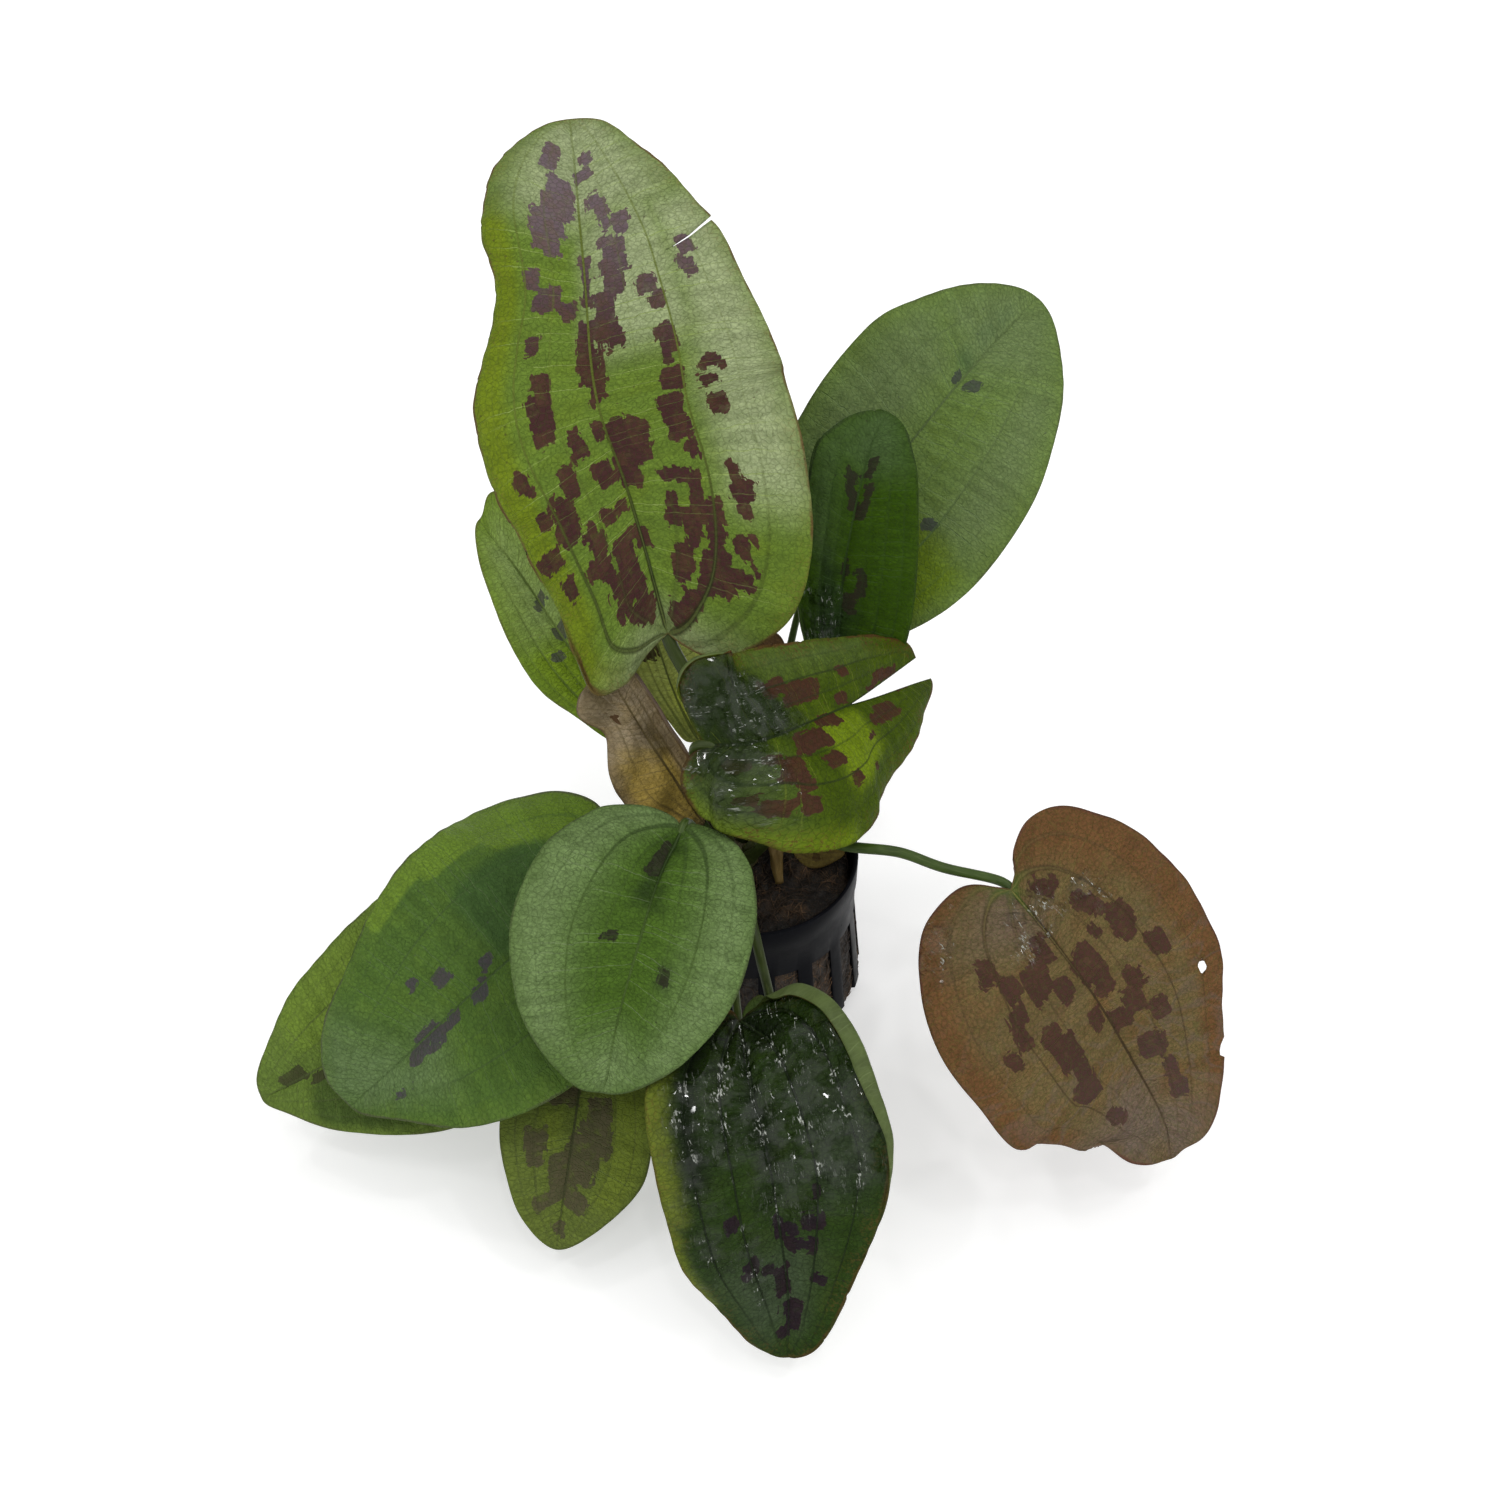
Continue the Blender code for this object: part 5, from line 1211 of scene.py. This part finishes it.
def makeBasePlate():
    base = potValues["base"]
    bpy.ops.object.select_all(action="DESELECT")
    bpy.ops.mesh.primitive_cylinder_add(
        vertices=128, radius=base["radius"] * mm, depth=base["thickness"] * mm,
        location=(0, 0, base["thickness"] / 2 * mm))
    plate = bpy.context.object
    plate.name = "potBase"
    bpy.ops.object.transform_apply(location=True, rotation=True, scale=True)
    bpy.ops.object.select_all(action="DESELECT")
    middle = (base["inner"] + base["outer"]) / 2
    bpy.ops.mesh.primitive_cube_add(size=1, location=(middle * mm, 0, 0))
    cutter = bpy.context.object
    cutter.scale = ((base["outer"] - base["inner"]) * mm, base["width"] * mm, 4 * mm)
    bpy.ops.object.transform_apply(location=True, rotation=True, scale=True)
    bpy.ops.object.mode_set(mode="EDIT")
    bpy.ops.mesh.select_all(action="DESELECT")
    bpy.ops.object.mode_set(mode="OBJECT")
    for edge in cutter.data.edges:
        run = cutter.data.vertices[edge.vertices[0]].co - cutter.data.vertices[edge.vertices[1]].co
        edge.select = abs(run.z) > 3 * mm
    bpy.ops.object.mode_set(mode="EDIT")
    bpy.ops.mesh.select_mode(type="EDGE")
    bpy.ops.mesh.bevel(offset=base["width"] / 2 * 0.96 * mm, segments=5, affect="EDGES")
    bpy.ops.mesh.select_all(action="SELECT")
    for _ in range(base["slots"] - 1):
        bpy.ops.mesh.duplicate()
        bpy.ops.transform.rotate(
            value=2 * math.pi / base["slots"], orient_axis="Z", center_override=(0, 0, 0))
    bpy.ops.object.mode_set(mode="OBJECT")
    applyModifier(plate, "BOOLEAN", object=cutter, operation="DIFFERENCE", solver="EXACT")
    bpy.data.objects.remove(cutter)
    applyModifier(plate, "BEVEL", width=base["edge"] * mm, segments=2, limit_method="ANGLE",
                  angle_limit=math.radians(40))
    return plate


def plasticMaterial():
    material, tree, shader = newMaterial("darkPlastic")
    place = put(tree, "ShaderNodeTexCoord").outputs["Object"]
    cloud = mottleNoise(tree, place, 90.0, 4.0, 0.6)
    grain = mottleNoise(tree, place, 2600.0, 2.0, 0.5)
    chips = put(tree, "ShaderNodeTexVoronoi", {"Vector": place, "Scale": 420.0}).outputs["Distance"]
    marks = times(tree, fade(tree, chips, 0.22, 0.08), fade(tree, cloud, 0.52, 0.66))
    drawn = drawnOut(tree, place, (1.0, 1.0, 0.1))
    scratches = fade(tree, mottleNoise(tree, drawn, 900.0, 3.0, 0.6), 0.62, 0.74)
    base = mixTone(tree, fade(tree, cloud, 0.35, 0.7), tone(potValues["dark"]), tone(potValues["light"]))
    base = mixTone(tree, times(tree, scratches, 0.35), base, tone(potValues["scratch"]))
    base = mixTone(tree, times(tree, marks, 0.35), base, tone(potValues["mark"]))
    rough = plus(tree, fade(tree, cloud, 0.3, 0.7, 0.3, 0.45), times(tree, marks, 0.25))
    height = plus(tree, times(tree, grain, 0.02), times(tree, scratches, -0.01), times(tree, cloud, 0.12))
    dress(tree, shader, height, {"Base Color": base, "Roughness": rough, "Specular IOR Level": 0.025})
    return material


pot = makePot()
plate = makeBasePlate()
pickOnly(pot)
plate.select_set(True)
bpy.ops.object.join()
bpy.ops.object.shade_smooth_by_angle(angle=math.radians(35))
pot.data.materials.clear()
pot.data.materials.append(plasticMaterial())
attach(pot, "root")
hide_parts("net_pot")
print("pot done")


# growing medium: a lumpy plug of coir, with loose fibres on its top and in the pot's slots

mediumValues = dict(
    top=40.0, lump=0.8, columns=300, cell=0.55, inset=0.75, roughness=0.55,
    topFibres=420, slotFibres=26, fibreRadius=0.13, fibreReach=24.4, fibreSteps=6, seed=7,
    bottom=1.7, slotBottom=3.0, slotTop=29.0, inside=25.0)      # mm


def potRadius(height):
    heights, radii = zip(*potValues["profile"])
    return float(np.interp(height, heights, radii))


def mediumTop(x, y):
    broad = np.sin(0.55 * x + 1.1) * np.cos(0.48 * y - 0.4)
    return mediumValues["top"] + mediumValues["lump"] * (broad + 0.5 * np.sin(1.1 * x - 0.9 * y))


def makeMedium():
    values = mediumValues
    wallTop = values["top"] - 1.5
    bottom, inside, slotTop = values["bottom"], values["inside"], values["slotTop"]
    profile = [(0.0, bottom), (12.0, bottom), (inside + 0.2, bottom)]
    heights = np.arange(values["slotBottom"], slotTop)
    profile += [(potRadius(height) - values["inset"], height) for height in heights]
    profile += [(inside, slotTop + 0.6), (inside, wallTop), (inside - 1, values["top"]), (0.0, values["top"])]
    points = np.array(profile)
    reach = np.concatenate([[0], np.cumsum(np.linalg.norm(np.diff(points, axis=0), axis=1))])
    rows = round(reach[-1] / values["cell"])
    plug = freshSheet("coirPlug", values["columns"], rows)
    mesh = plug.data
    co = readPlaces(mesh)
    angle = (co[:, 0] + 1) * math.pi
    place = (co[:, 1] + 1) / 2 * reach[-1]
    radius, height = (np.interp(place, reach, points[:, axis]) for axis in (0, 1))
    x, y = radius * np.cos(angle), radius * np.sin(angle)
    onTop = bump(height, wallTop, values["top"] - 0.2)
    height = height + onTop * (mediumTop(x, y) - values["top"])
    ruffle = np.array([noise.fractal(Vector((a * 0.55, b * 0.55, c * 0.55)), 0.9, 2.2, 4)
                       for a, b, c in zip(x, y, height)]) * values["roughness"]
    quiet = bump(radius, 0.0, 3.0) * (1 - bump(-height, -bottom - 0.05, -bottom + 0.01))
    ruffle *= quiet
    height = height + ruffle * onTop * 1.4
    radius = radius + ruffle * (1 - onTop)
    writePlaces(mesh, np.stack([radius * np.cos(angle), radius * np.sin(angle), height], 1))
    editMesh(plug, lambda: bpy.ops.mesh.remove_doubles(threshold=1e-6),
             lambda: bpy.ops.mesh.normals_make_consistent(inside=False))
    plug.data.shade_smooth()
    return plug


def fibreRoutes():
    values = mediumValues
    chance = random.Random(values["seed"])
    steps = values["fibreSteps"]
    halfSlot = 0.125      # radians
    routes = []
    for _ in range(values["topFibres"]):
        # loose fibres lie on the top and hump up a little
        radius, angle = 24.0 * math.sqrt(chance.random()), chance.uniform(0, 2 * math.pi)
        heading, length = chance.uniform(0, 2 * math.pi), chance.uniform(3, 11)
        x, y = radius * math.cos(angle), radius * math.sin(angle)
        hump, curve = chance.uniform(0.1, 1.3), chance.uniform(-1.4, 1.4)
        route = []
        for step in range(steps + 1):
            share = step / steps
            route.append((x, y, float(mediumTop(x, y)) + 0.15 + hump * math.sin(math.pi * share)))
            x += math.cos(heading) * length / steps
            y += math.sin(heading) * length / steps
            heading += curve / steps + chance.uniform(-0.25, 0.25)
            away = math.hypot(x, y)
            if away > values["fibreReach"]:
                x, y = x * values["fibreReach"] / away, y * values["fibreReach"] / away
        routes.append(route)
    pitch = 2 * math.pi / potValues["slots"]
    for slot in range(potValues["slots"]):
        middle = math.radians(potValues["slotTurn"]) + slot * pitch
        for _ in range(values["slotFibres"]):
            turn = middle + chance.uniform(-0.08, 0.08)
            height, steep = chance.uniform(3.5, 28.0), chance.uniform(-1.2, 1.2)
            steep += math.pi / 2 * chance.choice((0, 1, 1))
            length, curve, proud = chance.uniform(3, 8), chance.uniform(-1.0, 1.0), chance.uniform(-0.5, 0.45)
            route = []
            for step in range(steps + 1):
                share = step / steps
                radius = potRadius(height) - 0.7 + proud * math.sin(math.pi * share) + 0.25
                route.append((radius * math.cos(turn), radius * math.sin(turn), height))
                turn += math.cos(steep) * length / steps / radius
                turn = min(max(turn, middle - halfSlot), middle + halfSlot)
                height += math.sin(steep) * length / steps
                height = min(max(height, values["slotBottom"]), values["slotTop"] - 0.3)
                steep += curve / steps + chance.uniform(-0.3, 0.3)
            routes.append(route)
    return routes


def makeFibres():
    bpy.ops.object.select_all(action="DESELECT")
    bpy.ops.curve.primitive_nurbs_path_add(location=(0, 0, 0))
    fibres = bpy.context.object
    fibres.name = "coirFibres"
    curve = fibres.data
    curve.splines.clear()
    for route in fibreRoutes():
        spline = curve.splines.new("POLY")
        spline.points.add(len(route) - 1)
        for index, (point, place) in enumerate(zip(spline.points, route)):
            point.co = (*(part * mm for part in place), 1.0)
            point.radius = 0.35 + 0.65 * math.sin(math.pi * (index + 0.4) / len(route))
    curve.bevel_depth = mediumValues["fibreRadius"] * mm
    curve.bevel_resolution = 0
    curve.use_fill_caps = True
    bpy.ops.object.convert(target="MESH")
    fibres = bpy.context.object
    fibres.data.shade_smooth()
    return fibres


def coirMaterial(name, dark, light, strand):
    material, tree, shader = newMaterial(name)
    place = put(tree, "ShaderNodeTexCoord").outputs["Object"]
    cloud = mottleNoise(tree, place, 160.0, 5.0, 0.65)
    bits = mottleNoise(tree, place, 900.0, 4.0, 0.7)
    threads = []
    for spin in ((0.4, 0.9, 0.2), (1.5, -0.5, 1.1), (0.1, -1.2, 2.2)):
        turned = drawnOut(tree, place, (1, 1, 0.08), spin)
        threads.append(fade(tree, mottleNoise(tree, turned, 1500.0, 2.0), 0.6, 0.68))
    thread = calc(tree, "MAXIMUM", calc(tree, "MAXIMUM", threads[0], threads[1]), threads[2])
    base = mixTone(tree, fade(tree, cloud, 0.35, 0.68), tone(dark), tone(light))
    base = mixTone(tree, fade(tree, bits, 0.45, 0.75, 0.0, 0.6), base, tone(dark))
    base = mixTone(tree, times(tree, thread, 0.7), base, tone(strand))
    clods = fade(tree, mottleNoise(tree, place, 95.0, 3.0), 0.42, 0.6, 0.3, 1.25)
    base = darken(tree, base, clods)
    height = plus(tree, times(tree, thread, 0.16), times(tree, bits, 0.4))
    dress(tree, shader, height, {"Base Color": base, "Roughness": fade(tree, bits, 0.3, 0.7, 0.6, 0.9)})
    return material


plug = makeMedium()
mass = coirMaterial("coirMass", (0.012, 0.007, 0.003), (0.045, 0.024, 0.01), (0.11, 0.06, 0.026))
plug.data.materials.append(mass)
fibres = makeFibres()
strand = coirMaterial("coirStrand", (0.03, 0.016, 0.007), (0.13, 0.07, 0.03), (0.2, 0.12, 0.055))
fibres.data.materials.append(strand)
for piece in (plug, fibres):
    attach(piece, "root")
    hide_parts("growing_medium")
print("medium done with", len(fibres.data.polygons), "fibre faces")


# crown, the stub of a dead stalk and the withered scrap beside it

deadStalk = dict(stalk=[(6.4, 4.5, 43.7), (6.6, 0, 43.2), (7.2, -6.5, 42)], stalkRadius=(1.9, 1.0))
withered = dict(
    midrib=[(10.5, 6.5, 41.9), (17, 3, 43.5), (23.5, 0.5, 45.6)],
    face=[(0, -0.5, 0.85), (-0.2, -0.6, 0.8)],
    left=[(3, 2.5), (8, 3.5), (12, 2)], right=[(2.5, 3), (7, 4.5), (12, 2.5)],
    leftBend=(4, 0, 0), rightBend=(4, 0, 0), cell=0.35, fold=0.5, wave=0.5,
    green=(0.16, 0.12, 0.03), sheenTone=(0.2, 0.17, 0.06), bright=(0.19, 0.15, 0.03), blotch=(0.06, 0.035, 0.012),
    veinTone=(0.12, 0.085, 0.03), crossTone=(0.22, 0.18, 0.07), edgeTone=(0.07, 0.04, 0.015),
    dark=(0.09, 0.065, 0.02), spots=[(0.3, 0.5, 0.2, 0.06), (-0.4, 0.3, 0.2, 0.08)])


def makeCrown():
    values = crownValues
    bpy.ops.object.select_all(action="DESELECT")
    bpy.ops.mesh.primitive_uv_sphere_add(segments=64, ring_count=32, radius=1.0, location=(0, 0, 0))
    crown = bpy.context.object
    crown.name = "crownKnob"
    centreX, centreY = values["centre"]
    for vertex in crown.data.vertices:
        x, y, z = vertex.co
        angle = math.atan2(y, x)
        # the old leaf bases overlap round the crown like low scales
        scale = 1 + 0.07 * math.cos(angle * 7 + z * 4) + 0.05 * noise.noise(Vector((x * 3, y * 3, z * 3)))
        low = max(z, -0.25)
        height = values["foot"] + (low + 0.25) / 1.25 * values["height"]
        height += 0.35 * math.cos(angle * 7 + 1) * (1 - abs(z))
        wide = scale * values["radius"]
        vertex.co = Vector((centreX + x * wide, centreY + y * wide, height)) * mm
    crown.data.shade_smooth()
    return crown


def crownMaterial():
    material, tree, shader = newMaterial("crownSkin")
    place = put(tree, "ShaderNodeTexCoord").outputs["Object"]
    cloud = mottleNoise(tree, place, 260.0, 4.0)
    streak = mottleNoise(tree, drawnOut(tree, place, (1, 1, 0.25)), 1400.0, 3.0, 0.6)
    base = mixTone(tree, fade(tree, cloud, 0.3, 0.7), tone((0.045, 0.05, 0.016)), tone((0.1, 0.075, 0.03)))
    base = mixTone(tree, fade(tree, streak, 0.5, 0.7, 0.0, 0.6), base, tone((0.035, 0.022, 0.01)))
    feeds = {"Base Color": base, "Roughness": fade(tree, streak, 0.2, 0.8, 0.4, 0.7)}
    dress(tree, shader, times(tree, streak, 0.3), feeds)
    return material


crown = makeCrown()
crown.data.materials.append(crownMaterial())
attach(crown, "root")
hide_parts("crown")

route = evenCurve(deadStalk["stalk"], 33)[0]
radii = np.linspace(*deadStalk["stalkRadius"], 33)
radii[0] = radii[-1] = 0.0
stub = growTube("deadStub", route, radii, 20, (0, 0, 1), groove=0.35, wrinkle=0.09)
ochre = tubeMaterial("ochreStub", (0.17, 0.11, 0.03), (0.12, 0.075, 0.025), (0.26, 0.19, 0.08), 0.6, 0.12)
stub.data.materials.append(ochre)
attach(stub, "root")
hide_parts("dead_stalk")

scrap, scrapShape = growBlade("witheredScrap", withered)
scrap.data.materials.append(leafMaterial("witheredSkin", scrapShape["values"]))
scrap.data.materials.append(undersideMaterial("witheredUnder", (0.15, 0.11, 0.04), (0.2, 0.16, 0.07)))
thicken(scrap, scrapShape["values"])
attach(scrap, "root")
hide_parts("withered_leaf")
print("crown, stub and scrap done")


# floor, lights and camera

studio = dict(
    floor=0.8, floorGlow=0.36, world=0.5,
    lights=[
        ("keyLight", (1.1, -0.6, 1.0), 1.8, 9.5),
        ("frontFill", (-0.9, -1.0, 0.9), 2.0, 9.5),
        ("topLight", (0.0, 0.3, 1.5), 1.6, 4.5)],
    glints=dict(count=7, reach=0.55, height=1.05, turn=20.0, size=0.05, power=0.6),
    target=(0.0, 0.0, 0.07))
view = dict(place=(0.001375, -0.449890, 0.560779), tilt=43.2, lens=65.0, film=36.0)

bpy.ops.object.select_all(action="DESELECT")
bpy.ops.mesh.primitive_plane_add(size=60.0, location=(0, 0, 0))
floor = bpy.context.object
floor.name = "paleFloor"
material, tree, shader = newMaterial("paleFloor")
feed(tree, shader, {
    "Base Color": tone((studio["floor"],) * 3), "Roughness": 0.8, "Specular IOR Level": 0.2,
    "Emission Color": tone((1.0, 1.0, 1.0)), "Emission Strength": studio["floorGlow"]})
floor.data.materials.append(material)

lamps = list(studio["lights"])
glints = studio["glints"]
for index in range(glints["count"]):
    angle = math.radians(glints["turn"] + 360 * index / glints["count"])
    place = (glints["reach"] * math.cos(angle), glints["reach"] * math.sin(angle), glints["height"])
    lamps.append((f"glint{index}", place, glints["size"], glints["power"]))
for lightName, place, size, power in lamps:
    bpy.ops.object.light_add(type="AREA", location=place)
    lamp = bpy.context.object
    lamp.name = lightName
    lamp.data.size = size
    lamp.data.energy = power
    lamp.rotation_euler = (Vector(studio["target"]) - Vector(place)).to_track_quat("-Z", "Y").to_euler()

world = bpy.data.worlds.new("studio")
bpy.context.scene.world = world
world.use_nodes = True
world.node_tree.nodes["Background"].inputs[0].default_value = (1.0, 1.0, 1.0, 1.0)
world.node_tree.nodes["Background"].inputs[1].default_value = studio["world"]

bpy.ops.object.camera_add(location=view["place"], rotation=(math.radians(view["tilt"]), 0, 0))
camera = bpy.context.object
camera.name = "photoView"
camera.data.lens = view["lens"]
camera.data.sensor_width = view["film"]
bpy.context.scene.camera = camera
bpy.context.scene.view_settings.view_transform = "Standard"
print("floor, lights and camera done")
